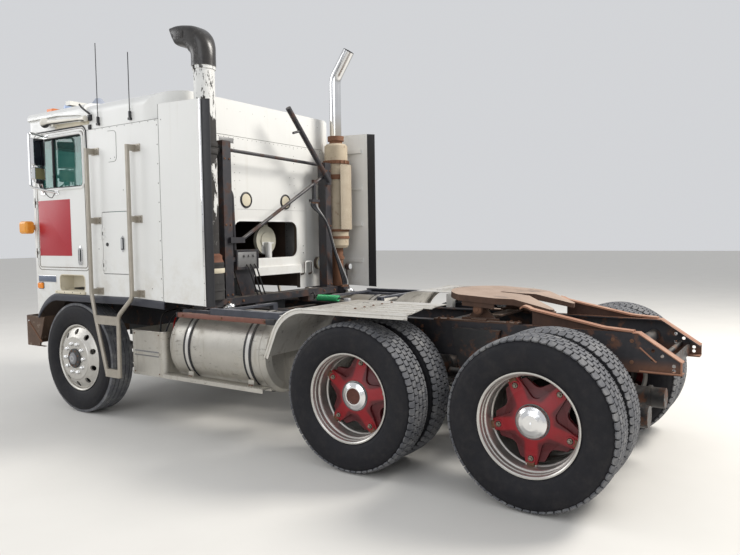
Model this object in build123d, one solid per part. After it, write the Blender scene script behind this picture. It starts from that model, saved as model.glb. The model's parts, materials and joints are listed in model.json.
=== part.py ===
# Cab-over truck tractor with a sleeper cab, two drive axles and a fifth wheel.
# Millimetres. X points to the truck's left, Y to its rear and Z up. While it is drawn, Y = 0 lies on the
# steer axle and Z = 0 on the ground; each solid is moved so that the origin is under the box's middle.
from build123d import *
import os
from math import cos, radians, sin, sqrt, tan

# Clearances
SEAT = 0.3
FIT = 0.08
PANEL_GAP = 6

# Wheels and axles
TYRE_R = 540
TYRE_W = 279
BEAD_R = 311
RIM_HALF = 112
FLANGE_R = 324
DRIVE_Y = (3228, 4549)
STEER_X = 1056
DUAL_GAP = 51
DUAL_X = (751, 751 + TYRE_W + DUAL_GAP)
KINGPIN_X = 940
KINGPIN_R = 20
SPINDLE_R = 36
DRIVE_SPINDLE_R = 46
SPOKES = 5
SPOKE_TURN = (9, 49)
CAP_R = 104
HAND_HOLES = 10
ARM_Y = 230
STUD_R = 12

# Drive line
GEARBOX_END = 1620
SHAFT_Z = 850

# Frame
RAIL_X = 432
RAIL_TOP = 1035
RAIL_H = 260
RAIL_T = 9
FLANGE_W = 88
RAIL_FRONT = -620
RAIL_END = 5285
RAIL_KNEE = RAIL_END - 265
RAIL_END_TOP = 860

# Bumper
BUMPER_FRONT = -905
BUMPER_X = 1190
BUMPER_Z = (603, 909)
BUMPER_T = 7

# Cab
CAB_X = 1204
CAB_CLEAR_X = CAB_X + 96
CAB_Y = (-690, 1430)
FRONT_LOW = 915
ROOF_SEAM = 2700
BACK_SEAM = 2630
CROWN = 3015
CROWN_R = 8300
VISOR_T = 22
SHOULDER_R = 110
WALL = 45
FRONT_CORNER_R = 110
BACK_CORNER_R = 300
SKIN_END = 1324
SKIN_T = 14
TUNNEL_X = 500
TUNNEL_TOP = 1855
TUNNEL_T = 25
FLOOR_T = 25
TILT_PIVOT = (-800, 800)
PIVOT_R = 22

# Doors and openings of the cab
DOOR_Y = (-565, 290)
DOOR_Z = (1390, 2730)
WINDOW_Y = (-470, 240)
WINDOW_Z = (2190, 2675)
LUGGAGE_Y = (503, 885)
LUGGAGE_Z = (1369, 1938)
HINGE_OUT = 8
HINGE_HALF = 48
DOOR_HINGE_Y = DOOR_Y[0] - 7
DOOR_HINGE_Z = (1560, 2060)
LUGGAGE_HINGE_Y = LUGGAGE_Y[0] - 5
LUGGAGE_HINGE_Z = (1450, 1740)
STEP_Y = (-200, 205)
STEP_Z = (1192, 1348)
STEP_DEPTH = 150
SCREEN_X = (55, CAB_X - 144)
SCREEN_Z = (1965, 2640)
GRILLE_X = 480
GRILLE_Z = (1020, 1700)
HATCH_X = 470
HATCH_Z = (1470, 1855)
GLASS_T = 6

# Extenders, ladders and mirrors
EXTENDER_END = 1842
EXTENDER_Z = (1134, 2830)
LADDER_X = CAB_X + 76
LADDER_R = 19
MIRROR = (CAB_X + 123, -285, 2462)
MIRROR_W = 165

# Tanks and boxes beside the frame
TANK_R = 328
TANK_X = RAIL_X + 60 + TANK_R
TANK_Z = 745
TANK_Y = (1262, 2420)
BOX_X = (640, 1150)
BOX_Y = (780, 1235)
BOX_Z = (464, 865)
DECK_X = 1180

# Fenders
FENDER_X = (470, DUAL_X[1] + 134)
FENDER_T = 5
FENDER_TOP = 1160

# Stacks behind the cab
STACK_Y = 1600
STACK_BASE = (1085, 1150)
INTAKE_X = 932
INTAKE_R = 90
EXHAUST_R = 63.5
MUFFLER_R = 125
POST_X = 735
POST_W = 100
EXHAUST_X = -(POST_X + POST_W / 2 + 33 + MUFFLER_R)
COIL_R = 32

# Fifth wheel
FIFTH_Y = 3888
FIFTH_PIVOT_Z = 1130
FIFTH_REST = 3.5
FIFTH_TOP = 1232
FIFTH_HALF = 457
FIFTH_FRONT = 3520
FIFTH_SHOULDER = 3735
FIFTH_BACK = 4400
FIFTH_T = 45
THROAT_R = 25.9
PIVOT_PIN_R = 26

Y_SHIFT = -(BUMPER_FRONT + RAIL_END) / 2


def block(x, y, z):
    """A box from its low and high bounds on each axis."""
    size = Box(x[1] - x[0], y[1] - y[0], z[1] - z[0])
    return Pos((x[0] + x[1]) / 2, (y[0] + y[1]) / 2, (z[0] + z[1]) / 2) * size


def rod(start, end, radius, hole=0):
    """A round bar, or a tube where a hole radius is given, between two points."""
    line = Line(start, end)
    plane = Plane(origin=line @ 0, z_dir=line % 0)
    section = Circle(radius) - Circle(hole) if hole else Circle(radius)
    return extrude(plane * section, line.length, dir=line % 0)


def pipe(points, radius, bend, hole=0):
    """A round bar or tube bent along straight runs joined by arcs."""
    path = FilletPolyline(*points, radius=bend)
    section = Circle(radius) - Circle(hole) if hole else Circle(radius)
    return sweep(Plane(origin=path @ 0, z_dir=path % 0) * section, path=path)


def soft_bends(points):
    """The largest arc at each inner point of a route that leaves a tenth of each run straight."""
    steps = [Vector(*b) - Vector(*a) for a, b in zip(points, points[1:])]
    radii = []
    for one, two in zip(steps, steps[1:]):
        half_turn = radians(one.get_angle(two)) / 2
        radii.append(0.45 * min(one.length, two.length) / tan(half_turn))
    return radii


def outline(points, radius=0):
    """A flat face from its corners, rounded where a radius is given."""
    face = Polygon(*points, align=None)
    return fillet(face.vertices(), radius) if radius else face


def side_plate(face, x):
    """A face drawn in Y and Z, as thick as the two X values."""
    return extrude(Plane.YZ.offset(x[0]) * face, x[1] - x[0], dir=(1, 0, 0))


def plan_plate(face, z):
    """A face drawn in X and Y, as thick as the two Z values."""
    return extrude(Plane.XY.offset(z[0]) * face, z[1] - z[0], dir=(0, 0, 1))


def front_plate(face, y):
    """A face drawn in X and Z, as thick as the two Y values."""
    plane = Plane(origin=(0, y[0], 0), x_dir=(1, 0, 0), z_dir=(0, -1, 0))
    return extrude(plane * face, y[1] - y[0], dir=(0, 1, 0))


def rounded(u, v, radius):
    """A rounded rectangle between two bounds on each of its own axes."""
    face = RectangleRounded(u[1] - u[0], v[1] - v[0], radius)
    return Pos((u[0] + u[1]) / 2, (v[0] + v[1]) / 2) * face


def ring_profile(inner, outer, low, high):
    """The four corners of a ring's or disc's section for turning, from its radii and its two ends."""
    return [(inner, low), (outer, low), (outer, high), (inner, high)]


def turned(profile, centre):
    """A profile of (X, radius) points turned about a line along X through the centre."""
    plane = Plane(origin=(0, 0, 0), x_dir=(1, 0, 0), z_dir=(0, -1, 0))
    return Pos(*centre) * revolve(plane * Polygon(*profile, align=None), Axis.X)


def spun(profile, centre):
    """A profile of (Y, radius) points turned about a line along Y through the centre."""
    plane = Plane(origin=(0, 0, 0), x_dir=(1, 0, 0), z_dir=(0, -1, 0))
    return Pos(*centre) * Rot(0, 0, 90) * revolve(plane * Polygon(*profile, align=None), Axis.X)


def upright(profile, centre):
    """A profile of (radius, Z) points turned about an upright line through the centre."""
    plane = Plane(origin=(0, 0, 0), x_dir=(1, 0, 0), z_dir=(0, -1, 0))
    return Pos(*centre) * revolve(plane * Polygon(*profile, align=None), Axis.Z)


def opposite(shape):
    """The same piece on the truck's right."""
    return mirror(shape, about=Plane.YZ)


def pair(shape):
    """A left piece and its twin on the right, as two solids."""
    return Compound([shape, opposite(shape)])


def group(shapes):
    """Several solids that share a node."""
    return Compound(list(shapes))


# Wheels

def tyre(x, y):
    """One tyre: a crowned tread, bulged sidewalls and an open inside."""
    half = TYRE_W / 2
    outer = [(-103, BEAD_R + SEAT), (-103, FLANGE_R + 3), (-119, 345), (-half, 428), (-half + 8, 490),
             (-118, 522), (-98, 536), (0, TYRE_R)]
    inner = [(0, 508), (-96, 503), (-122, 428), (-96, 350), (-78, BEAD_R + SEAT)]
    ring = outer + [(-u, r) for u, r in reversed(outer[:-1])]
    hole = [(-u, r) for u, r in reversed(inner[1:])] + list(reversed(inner))
    profile = ring + hole
    return turned(profile, (x, y, TYRE_R))


def rim(x, y):
    """One rim: two flanges, two bead seats and a well, stepped on the side that shows."""
    h, lip, well, seat = RIM_HALF, 8, 38, 50
    outer = [(-h, FLANGE_R), (-h + lip, FLANGE_R), (-h + lip, BEAD_R), (-seat, BEAD_R),
             (-well, BEAD_R - 12), (well, BEAD_R - 12), (seat, BEAD_R), (h - lip, BEAD_R),
             (h - lip, FLANGE_R), (h, FLANGE_R)]
    steps = [(h, 316), (h - 6, 309), (h - 26, 305), (h - 32, 300), (h - 62, 300), (h - 70, 292),
             (h - 78, 289), (-36, 289), (-44, 281), (-60, 281), (-66, 296), (-h, 302)]
    return turned(outer + steps, (x, y, TYRE_R))


def steer_wheel():
    """The left steer wheel: rim, bulged disc with hand holes, hub, drum and grease cap."""
    face, t, hub_back, bore_end = STEER_X + 150, 14, 1002, 1128
    edge = STEER_X + 84
    disc = turned([(face - t, 60), (face, 60), (face, 205), (face - 7, 212), (face - 26, 255),
                   (face - 46, 285), (edge + 10, 298), (edge, 307), (edge - 14, 307), (edge - 4, 290),
                   (face - 60, 276), (face - 40, 246), (face - t - 4, 206)], (0, 0, TYRE_R))
    hole_circle, hole_r = 255, 27
    for k in range(HAND_HOLES):
        a = radians(360 / HAND_HOLES * (k + 0.5))
        y, z = hole_circle * cos(a), TYRE_R + hole_circle * sin(a)
        disc -= rod((edge, y, z), (face, y, z), hole_r)
    hub = turned([(hub_back, 0), (hub_back, 110), (1060, 110), (1080, 95), (face + 12, 95),
                  (face + 18, 88), (face + 18, 64), (face + 24, 54), (face + 32, 50), (face + 36, 38),
                  (face + 36, 0)], (0, 0, TYRE_R))
    hub -= rod((hub_back - 1, 0, TYRE_R), (bore_end, 0, TYRE_R), SPINDLE_R + SEAT)
    drum = turned([(930, 192), (930, 208), (1022, 208), (1022, 100), (1008, 100), (1008, 192)],
                  (0, 0, TYRE_R))
    return rim(STEER_X, 0) + disc + hub + drum


def star(y, turn, tip, valley_r, soft):
    """A star in Y and Z about a drive wheel's axis: tip is each arm's (radius, half width)."""
    points = []
    for k in range(SPOKES):
        a = radians(turn + 360 / SPOKES * k)
        for side in (-1, 1):
            points.append((tip[0] * cos(a) - side * tip[1] * sin(a),
                           tip[0] * sin(a) + side * tip[1] * cos(a)))
        b = a + radians(180 / SPOKES)
        points.append((valley_r * cos(b), valley_r * sin(b)))
    face = Polygon(*points, align=None)
    valleys = [v for v in face.vertices() if sqrt(v.X ** 2 + v.Y ** 2) < valley_r + 1]
    return Pos(y, TYRE_R) * fillet(valleys, soft)


def spider(y, turn, outer):
    """The cast spider: dished arms, webs set back between them and a clamp cup on each arm."""
    arms = side_plate(star(y, turn, (289, 33), 128, 48), (outer - 130, outer + 20))
    arms &= turned([(outer + 15, 0), (outer + 11, 118), (outer - 19, 200), (outer - 35, 292),
                    (outer - 62, 292), (outer - 80, 200), (outer - 121, 118), (outer - 121, 0)],
                   (0, y, TYRE_R))
    webs = side_plate(star(y, turn, (262, 74), 196, 50), (outer - 130, outer + 20))
    webs &= turned([(outer - 6, 0), (outer - 12, 118), (outer - 44, 200), (outer - 50, 262),
                    (outer - 70, 262), (outer - 84, 200), (outer - 121, 118), (outer - 121, 0)],
                   (0, y, TYRE_R))
    cast = arms + webs
    cup_circle, cup_r, socket_r = 240, 29, 20
    for k in range(SPOKES):
        a = radians(turn + 360 / SPOKES * k)
        cy, cz = y + cup_circle * cos(a), TYRE_R + cup_circle * sin(a)
        cast += rod((outer - 60, cy, cz), (outer - 19, cy, cz), cup_r)
        cast -= rod((outer - 31, cy, cz), (outer, cy, cz), socket_r)
        lug = side_plate(Rot(0, 0, turn + 360 / SPOKES * k) * rounded((262, 293), (-20, 20), 5),
                         (outer - 44, outer - 26))
        cast += Pos(0, y, TYRE_R) * lug
    return cast


def drive_wheel(y, turn, domed):
    """A left dual wheel: two rims and a spacer on the cast spider, its hub, drum and bright cap."""
    inner, outer = DUAL_X
    spacer_x = (inner + RIM_HALF, outer - RIM_HALF)
    bore_end = outer - 19
    wheel = rim(inner, y) + rim(outer, y)
    lap = 24
    wheel += turned([(spacer_x[0] - lap, BEAD_R - 8), (spacer_x[0] - lap, BEAD_R - 1),
                     (spacer_x[1] + 1, BEAD_R - 1), (spacer_x[1] + 1, BEAD_R - 8)], (0, y, TYRE_R))
    wheel += spider(y, turn, outer)
    wheel += turned([(690, 0), (690, 118), (outer - 120, 118), (outer - 120, 0)], (0, y, TYRE_R))
    if domed:
        cap = [(outer, 0), (outer, CAP_R), (outer + 20, CAP_R), (outer + 32, 97), (outer + 46, 76),
               (outer + 54, 48), (outer + 57, 0)]
    else:
        cap = [(outer, 0), (outer, CAP_R), (outer + 6, CAP_R), (outer + 20, 98), (outer + 33, 66),
               (outer + 33, 59), (outer + 20, 59), (outer + 18, 0)]
    wheel += turned(cap, (0, y, TYRE_R))
    wheel += turned([(650, 196), (650, 212), (820, 212), (820, 110), (806, 110), (806, 196)],
                    (0, y, TYRE_R))
    return wheel - rod((600, y, TYRE_R), (bore_end, y, TYRE_R), DRIVE_SPINDLE_R + FIT)


# Running gear

def knuckle():
    """The left steering knuckle: two ears on the kingpin, the spindle and the tie-rod arm."""
    ear_z, ear_x, web_x = (62, 108), (892, 990), (982, 996)
    body = block(web_x, (-60, 60), (TYRE_R - 108, TYRE_R + 108))
    for side in (1, -1):
        low, high = sorted((side * ear_z[0], side * ear_z[1]))
        body += block((KINGPIN_X, ear_x[1]), (-50, 50), (TYRE_R + low, TYRE_R + high))
        body += rod((KINGPIN_X, 0, TYRE_R + low), (KINGPIN_X, 0, TYRE_R + high), 50)
    body += rod((web_x[0], 0, TYRE_R), (1126, 0, TYRE_R), SPINDLE_R)
    arm_z = (TYRE_R - 108, TYRE_R - 72)
    neck_x = KINGPIN_X - 19
    arm = Polygon((890, -20), (neck_x, -20), (neck_x, ARM_Y - 40), (930, ARM_Y - 22), (955, ARM_Y),
                  (940, ARM_Y + 24), (915, ARM_Y + 10), (890, ARM_Y - 50), align=None)
    body += plan_plate(arm, arm_z)
    body += rod((KINGPIN_X, ARM_Y, arm_z[0]), (KINGPIN_X, ARM_Y, arm_z[1]), 26)
    body -= rod((KINGPIN_X, 0, TYRE_R - 120), (KINGPIN_X, 0, TYRE_R + 120), KINGPIN_R + FIT)
    return body - rod((KINGPIN_X, ARM_Y, arm_z[0] - 1), (KINGPIN_X, ARM_Y, arm_z[1] + 1), STUD_R + FIT)


def tie_rod():
    """The tie rod across the truck, with its two ball studs in the knuckles' arms."""
    z = TYRE_R - 130
    bar = rod((-KINGPIN_X, ARM_Y, z), (KINGPIN_X, ARM_Y, z), 19)
    for side in (1, -1):
        x = side * KINGPIN_X
        bar += rod((x, ARM_Y, z - 21), (x, ARM_Y, TYRE_R - 108 - SEAT), 24)
        bar += rod((x, ARM_Y, z), (x, ARM_Y, TYRE_R - 66), STUD_R)
    return bar


def steer_axle():
    """The dropped steer beam, with a boss and kingpin at each end."""
    drop = 445
    half = [(0, drop), (560, drop), (760, TYRE_R - 12), (900, TYRE_R - 12)]
    web = [(x, z - 38) for x, z in half] + [(x, z + 38) for x, z in reversed(half)]
    low = [(x, z - 50) for x, z in half] + [(x, z - 36) for x, z in reversed(half)]
    high = [(x, z + 36) for x, z in half] + [(x, z + 50) for x, z in reversed(half)]
    beam = front_plate(Polygon(*web, align=None), (-12, 12))
    beam += front_plate(Polygon(*low, align=None), (-44, 44))
    beam += front_plate(Polygon(*high, align=None), (-44, 44))
    boss_z = 62 - SEAT
    beam += rod((KINGPIN_X, 0, TYRE_R - boss_z), (KINGPIN_X, 0, TYRE_R + boss_z), 37)
    beam += rod((KINGPIN_X, 0, TYRE_R - 114), (KINGPIN_X, 0, TYRE_R + 114), KINGPIN_R)
    return beam + opposite(beam)


def front_springs():
    """Leaf packs on the steer axle, with their hangers under the rails and U-bolts' plates."""
    x = (352, 428)
    seat_z = 445 + 50 + SEAT
    sweep_r, t, halves, eye_y, eye_r = 1600, 13, (300, 420, 520, 620), 620, 24
    pack = None
    for k, half in enumerate(halves):
        ring = Pos(0, seat_z + sweep_r) * (Circle(sweep_r - k * t) - Circle(sweep_r - (k + 1) * t))
        leaf = side_plate(ring & Pos(0, seat_z + 100) * Rectangle(2 * half, 300), x)
        pack = leaf if pack is None else pack + leaf
    eye_z = seat_z + sweep_r - sqrt((sweep_r - 4 * t - eye_r + 4) ** 2 - eye_y ** 2)
    low = RAIL_TOP - RAIL_H
    for y in (-eye_y, eye_y):
        pack += rod((x[0], y, eye_z), (x[1], y, eye_z), eye_r)
        pack += side_plate(Polygon((y - 45, low), (y + 45, low), (y + 22, eye_z), (y - 22, eye_z),
                                   align=None), x)
    pack += block(x, (-70, 70), (seat_z + len(halves) * t - 2, seat_z + len(halves) * t + 26))
    return pair(pack)


def drive_axle(y, way):
    """One drive axle: the bowl, tapered housing tubes, the spindles in the hubs and the brake chambers."""
    flange_x, spindle_end = 640, DUAL_X[1] - 21
    profile = [(0, 0), (0, 215), (90, 205), (210, 120), (300, 76), (flange_x - 20, 70),
               (flange_x - 20, 110), (flange_x, 110), (flange_x, DRIVE_SPINDLE_R),
               (spindle_end, DRIVE_SPINDLE_R), (spindle_end, 0)]
    half = turned(profile, (0, y, TYRE_R))
    can_x, can_z, can_r = 300, 455, 76
    half += rod((can_x, y, can_z + 30), (can_x, y + way * 240, can_z), 22)
    half += rod((can_x, y + way * 220, can_z), (can_x, y + way * 520, can_z), can_r)
    for reach in (290, 400):
        half += rod((can_x, y + way * reach, can_z), (can_x, y + way * (reach + 22), can_z), can_r + 12)
    nose = rod((0, y - 340, TYRE_R), (0, y, TYRE_R), 95)
    return half + opposite(half) + nose


def rear_suspension(axles):
    """Equalising beams under the axles, with the saddles that carry the frame."""
    x = (468, 556)
    mid = sum(DRIVE_Y) / 2
    y0, y1 = DRIVE_Y
    beam = Polygon((y0 - 95, 500), (y0 - 60, 440), (mid, 380), (y1 + 60, 440), (y1 + 95, 500),
                   (y1 + 80, 590), (y1 - 110, 560), (mid, 500), (y0 + 110, 560), (y0 - 80, 590),
                   align=None)
    carrier = side_plate(beam, x) - axles
    saddle = Polygon((mid - 70, 410), (mid + 70, 410), (mid + 150, 775), (mid + 190, 990),
                     (mid - 190, 990), (mid - 150, 775), align=None)
    carrier += side_plate(saddle, (RAIL_X, x[0] + 10))
    carrier += rod((RAIL_X, mid, 440), (x[1] + 20, mid, 440), 55)
    springs = pair(carrier)
    cross = rod((-RAIL_X, mid, 440), (RAIL_X, mid, 440), 45)
    return group([springs.solids()[0] + cross + springs.solids()[1]])


def driveshafts():
    """The main shaft from the gearbox and the short one between the axles."""
    stub = 24
    front_end, rear_end = DRIVE_Y[0] - 340, DRIVE_Y[1] - 340
    front = rod((0, GEARBOX_END + stub, SHAFT_Z), (0, front_end - stub, TYRE_R), 55)
    front += rod((0, GEARBOX_END, SHAFT_Z), (0, GEARBOX_END + stub + 12, SHAFT_Z), 62)
    front += rod((0, front_end - stub - 12, TYRE_R), (0, front_end, TYRE_R), 62)
    rear = rod((0, DRIVE_Y[0] + 216, TYRE_R), (0, rear_end, TYRE_R), 45)
    return group([front, rear])


# Frame

def rail():
    """The left rail: a channel open inwards, cut down in a slope behind its knee."""
    low = RAIL_TOP - RAIL_H
    web = Polygon((RAIL_FRONT, low), (RAIL_END, low), (RAIL_END, RAIL_END_TOP), (RAIL_KNEE, RAIL_TOP),
                  (RAIL_FRONT, RAIL_TOP), align=None)
    solid = side_plate(web, (RAIL_X - FLANGE_W, RAIL_X))
    slope = RAIL_T * 1.1
    inside = Polygon((RAIL_FRONT - 1, low + RAIL_T), (RAIL_END + 1, low + RAIL_T),
                     (RAIL_END + 1, RAIL_END_TOP - slope), (RAIL_KNEE, RAIL_TOP - RAIL_T),
                     (RAIL_FRONT - 1, RAIL_TOP - RAIL_T), align=None)
    solid -= side_plate(inside, (RAIL_X - FLANGE_W - 1, RAIL_X - RAIL_T))
    hole_r = 12
    for back, up in ((175, 150), (175, 90), (120, 120), (50, 60), (50, 30)):
        y, z = RAIL_END - back, low + up
        solid -= rod((RAIL_X - RAIL_T - 1, y, z), (RAIL_X + 1, y, z), hole_r)
    return solid


def crossmembers():
    """Channel crossmembers between the rails' webs, and the tube and plate at the rear end."""
    low = RAIL_TOP - RAIL_H
    reach = RAIL_X - RAIL_T
    members = []
    shaft_way = rod((0, GEARBOX_END, SHAFT_Z), (0, DRIVE_Y[0] - 340, TYRE_R), 80)
    for y in (-500, 1720, 2700, 3500, 4250):
        web = block((-reach, reach), (y, y + 8), (low + 30, RAIL_TOP - 30))
        lips = [block((-reach + 90, reach - 90), (y, y + 60), z) for z in
                ((low + 30, low + 38), (RAIL_TOP - 38, RAIL_TOP - 30))]
        members.append(web + lips[0] + lips[1] - shaft_way)
    tube_y, bar_y = RAIL_KNEE - 60, RAIL_KNEE + 122
    members.append(rod((-reach, tube_y, RAIL_TOP - 130), (reach, tube_y, RAIL_TOP - 130), 45, 38))
    members.append(rod((-reach, bar_y, RAIL_TOP - 175), (reach, bar_y, RAIL_TOP - 175), 17))
    plate_y, shelf = RAIL_END - 85, low + RAIL_T + 1
    plate = block((-reach, reach), (plate_y, plate_y + 10), (shelf, RAIL_END_TOP + 5))
    members.append(plate + block((-reach + 90, reach - 90), (plate_y - 80, plate_y + 10),
                                 (shelf, shelf + 9)))
    return group(members)


def frame_ramps():
    """The sloped ramps on the rails behind the fifth wheel, each an upright plate under a wide flange."""
    top = [(4217, 1160), (4240, 1178), (4270, 1172), (4300, 1158), (4802, 1060),
           (RAIL_KNEE - 3, RAIL_TOP)]
    face = Polygon(*top, (4300, RAIL_TOP), (4300, 1130), align=None)
    upright_plate = side_plate(face, (RAIL_X - 34, RAIL_X - 22))
    strip = top[:-1] + [(4990, RAIL_TOP + 12)] + [(4990, RAIL_TOP), (4802, 1048)] + \
        [(y, z - 12) for y, z in reversed(top[:4])]
    flange = side_plate(Polygon(*strip, align=None), (RAIL_X - 60, RAIL_X + 8))
    return pair(upright_plate + flange)


def bumper():
    """The steel bumper: a channel with rounded front corners and slanted open ends."""
    z0, z1 = BUMPER_Z
    def shell(inset):
        face = rounded((-BUMPER_X + inset, BUMPER_X - inset),
                       (BUMPER_FRONT + inset, BUMPER_FRONT + 700), 70)
        return plan_plate(face, (z0 - 1, z1 + 1))
    profile = Polygon((BUMPER_FRONT, z0), (BUMPER_FRONT, z1), (-530, z1), (-640, z0), align=None)
    end = side_plate(profile, (-BUMPER_X - 1, BUMPER_X + 1))
    shape = (shell(0) - shell(BUMPER_T)) & end
    lip = 26
    edge = shell(BUMPER_T) - shell(BUMPER_T + lip)
    lips = [edge & block((-1300, 1300), (-1000, -560), z) for z in ((z0, z0 + 6), (z1 - 6, z1))]
    shape = shape + lips[0] + (lips[1] & end)
    bracket = block((RAIL_X, RAIL_X + 12), (BUMPER_FRONT + BUMPER_T - 1, RAIL_FRONT + 90), (700, 890))
    stay = rod((BUMPER_X - 20, -655, z0 + 3), (BUMPER_X - 20, -572, z1 - 3), 8)
    return shape + bracket + opposite(bracket) + stay + opposite(stay)


def pivot_brackets():
    """Ears in front of the rails that carry the cab's hinge pins."""
    y, z = TILT_PIVOT
    face = Polygon((RAIL_FRONT + 90, 790), (RAIL_FRONT + 90, 895), (RAIL_FRONT, 895), (y - 10, z + 40),
                   (y - 40, z), (y - 10, z - 22), align=None)
    ear = side_plate(face, (RAIL_X - RAIL_T - 20, RAIL_X - RAIL_T))
    ear += rod((RAIL_X - 114, y, z), (RAIL_X - RAIL_T - 10, y, z), PIVOT_R)
    return ear


# Power unit

def powertrain():
    """The engine, bell housing and gearbox as one plain block each, joined as on the truck."""
    engine = block((-330, 330), (-330, 760), (640, 1330)) + block((-200, 200), (-300, 700),
                                                                  (1330, 1500))
    bell = front_plate(Pos(0, 850) * Circle(250), (760, 900))
    box = block((-190, 190), (900, 1480), (690, 1060)) + block((-110, 110), (1290, 1500), (1060, 1135))
    output = rod((0, 1480, SHAFT_Z), (0, GEARBOX_END, SHAFT_Z), 60)
    mounts = block((-RAIL_X + FLANGE_W - 90, RAIL_X - FLANGE_W + 90), (-180, -110),
                   (RAIL_TOP, RAIL_TOP + 30))
    return engine + bell + box + output + mounts


def radiator():
    """The radiator core between its side posts, with the header tanks."""
    y = (-600, -540)
    core = block((-400, 400), y, (RAIL_TOP + 40, 1560)) + block((-330, 330), y, (860, RAIL_TOP + 40))
    tanks = block((-415, 415), (-610, -530), (1560, 1660)) + block((-330, 330), (-610, -530),
                                                                   (790, 860))
    posts = block((-430, -400), y, (RAIL_TOP, 1560)) + block((400, 430), y, (RAIL_TOP, 1560))
    return core + tanks + posts


# Beside the frame

def fuel_tanks():
    """The round fuel tanks, with domed ends."""
    y0, y1 = TANK_Y
    profile = [(y0, 0), (y0, 250), (y0 + 22, 300), (y0 + 60, TANK_R), (y1 - 60, TANK_R), (y1 - 22, 300),
               (y1, 250), (y1, 0)]
    turn = spun(profile, (TANK_X, 0, TANK_Z))
    neck = rod((TANK_X + 60, 1790, TANK_Z + TANK_R - 38), (TANK_X + 76, 1790, TANK_Z + TANK_R + 28), 42)
    return pair(turn + neck)


def tank_steps():
    """Tank brackets and straps off the rails, and the folded tread channels that hang on the straps."""
    parts = None
    hold, strap_w = TANK_R + 3, 60
    step_x, step_top, fold = (TANK_X + 242, TANK_X + 352), TANK_Z - 240, 34
    for y in (1500, 2200):
        strap = rod((TANK_X, y, TANK_Z), (TANK_X, y + strap_w, TANK_Z), TANK_R + 6, TANK_R + SEAT)
        arm = block((RAIL_X, TANK_X - 240), (y, y + strap_w), (TANK_Z - 245, TANK_Z + 255))
        arm += block((TANK_X + 190, step_x[0] + 46), (y, y + strap_w), (step_top - 20, step_top + 44))
        arm -= rod((TANK_X, y - 1, TANK_Z), (TANK_X, y + strap_w + 1, TANK_Z), hold)
        step = strap + arm
        parts = step if parts is None else parts + step
    ends = (1243, 2409)
    parts += block(step_x, ends, (step_top - 8, step_top))
    for x in ((step_x[0], step_x[0] + 6), (step_x[1] - 6, step_x[1])):
        parts += block(x, ends, (step_top - fold, step_top))
    return pair(parts)


def battery_boxes():
    """The battery boxes in front of the tanks: rounded corners and an open top."""
    outer = plan_plate(rounded(BOX_X, BOX_Y, 50), BOX_Z)
    inner = plan_plate(rounded((BOX_X[0] + 5, BOX_X[1] - 5), (BOX_Y[0] + 5, BOX_Y[1] - 5), 45),
                       (BOX_Z[0] + 5, BOX_Z[1] + 1))
    ribs = block((BOX_X[1], BOX_X[1] + 8), (BOX_Y[0] + 50, BOX_Y[1] - 50),
                 (BOX_Z[0] + 190, BOX_Z[0] + 214))
    arms = None
    for y in (BOX_Y[0] + 80, BOX_Y[1] - 140):
        arm = block((RAIL_X, BOX_X[0]), (y, y + 60), (BOX_Z[1] - 120, BOX_Z[1] - 60))
        arms = arm if arms is None else arms + arm
    batteries = block((BOX_X[0] + 60, BOX_X[1] - 60), (BOX_Y[0] + 60, BOX_Y[1] - 60),
                      (BOX_Z[0] + 4, BOX_Z[1] - 130))
    return pair((outer - inner) + ribs + arms + batteries)


def deck_rails():
    """The ledges along the deck behind the cab, on outriggers from the rails."""
    ledge = block((DECK_X - 60, DECK_X), (1860, 2600), (1096, 1112))
    ledge += block((DECK_X - 8, DECK_X), (1860, 2600), (1060, 1096))
    bar = block((1060, 1100), (1438, 2540), (1040, 1078))
    arms = None
    for y in (1880, 2440):
        arm = block((RAIL_X, DECK_X - 8), (y, y + 50), (1078, 1096))
        arm += block((RAIL_X, RAIL_X + 56), (y, y + 50), (900, 1078))
        arms = arm if arms is None else arms + arm
    return pair(ledge + bar + arms)


def fenders():
    """The half fenders over the front drive wheels, with ribs along their flat tops."""
    x0, x1 = FENDER_X
    front, tail = 2482, 3764
    path = FilletPolyline((front, 772), (2652, FENDER_TOP), (tail, FENDER_TOP), radius=330)
    centre = Plane(origin=(x0, 0, 0), x_dir=(0, 1, 0), z_dir=(1, 0, 0))
    strip = offset(path, FENDER_T, side=Side.LEFT)
    sheet = extrude(centre * make_face(strip), x1 - x0, dir=(1, 0, 0))
    for x in (640, 760, 880, 1000, 1120):
        sheet += block((x, x + 26), (2980, tail - 8), (FENDER_TOP - 1, FENDER_TOP + FENDER_T + 6))
    torn = Polygon((x0 - 20, 3667), (645, 3657), (803, 3702), (795, 3629), (850, 3655), (977, 3692),
                   (1153, 3735), (x1 + 10, 3742), (x1 + 10, tail + 60), (x0 - 20, tail + 60),
                   align=None)
    lip = offset(path, 30, side=Side.RIGHT)
    edge = Plane(origin=(x1 - 5, 0, 0), x_dir=(0, 1, 0), z_dir=(1, 0, 0))
    sheet += extrude(edge * make_face(lip), 5, dir=(1, 0, 0))
    sheet -= plan_plate(torn, (FENDER_TOP - 60, FENDER_TOP + 60))
    bar_z = FENDER_TOP - 16
    post = block((RAIL_X, x0 + 20), (3190, 3250), (980, bar_z + 10))
    post += rod((RAIL_X + 10, 3220, bar_z), (1100, 3220, bar_z), 17)
    return pair(sheet + post)


# Behind the cab

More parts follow.
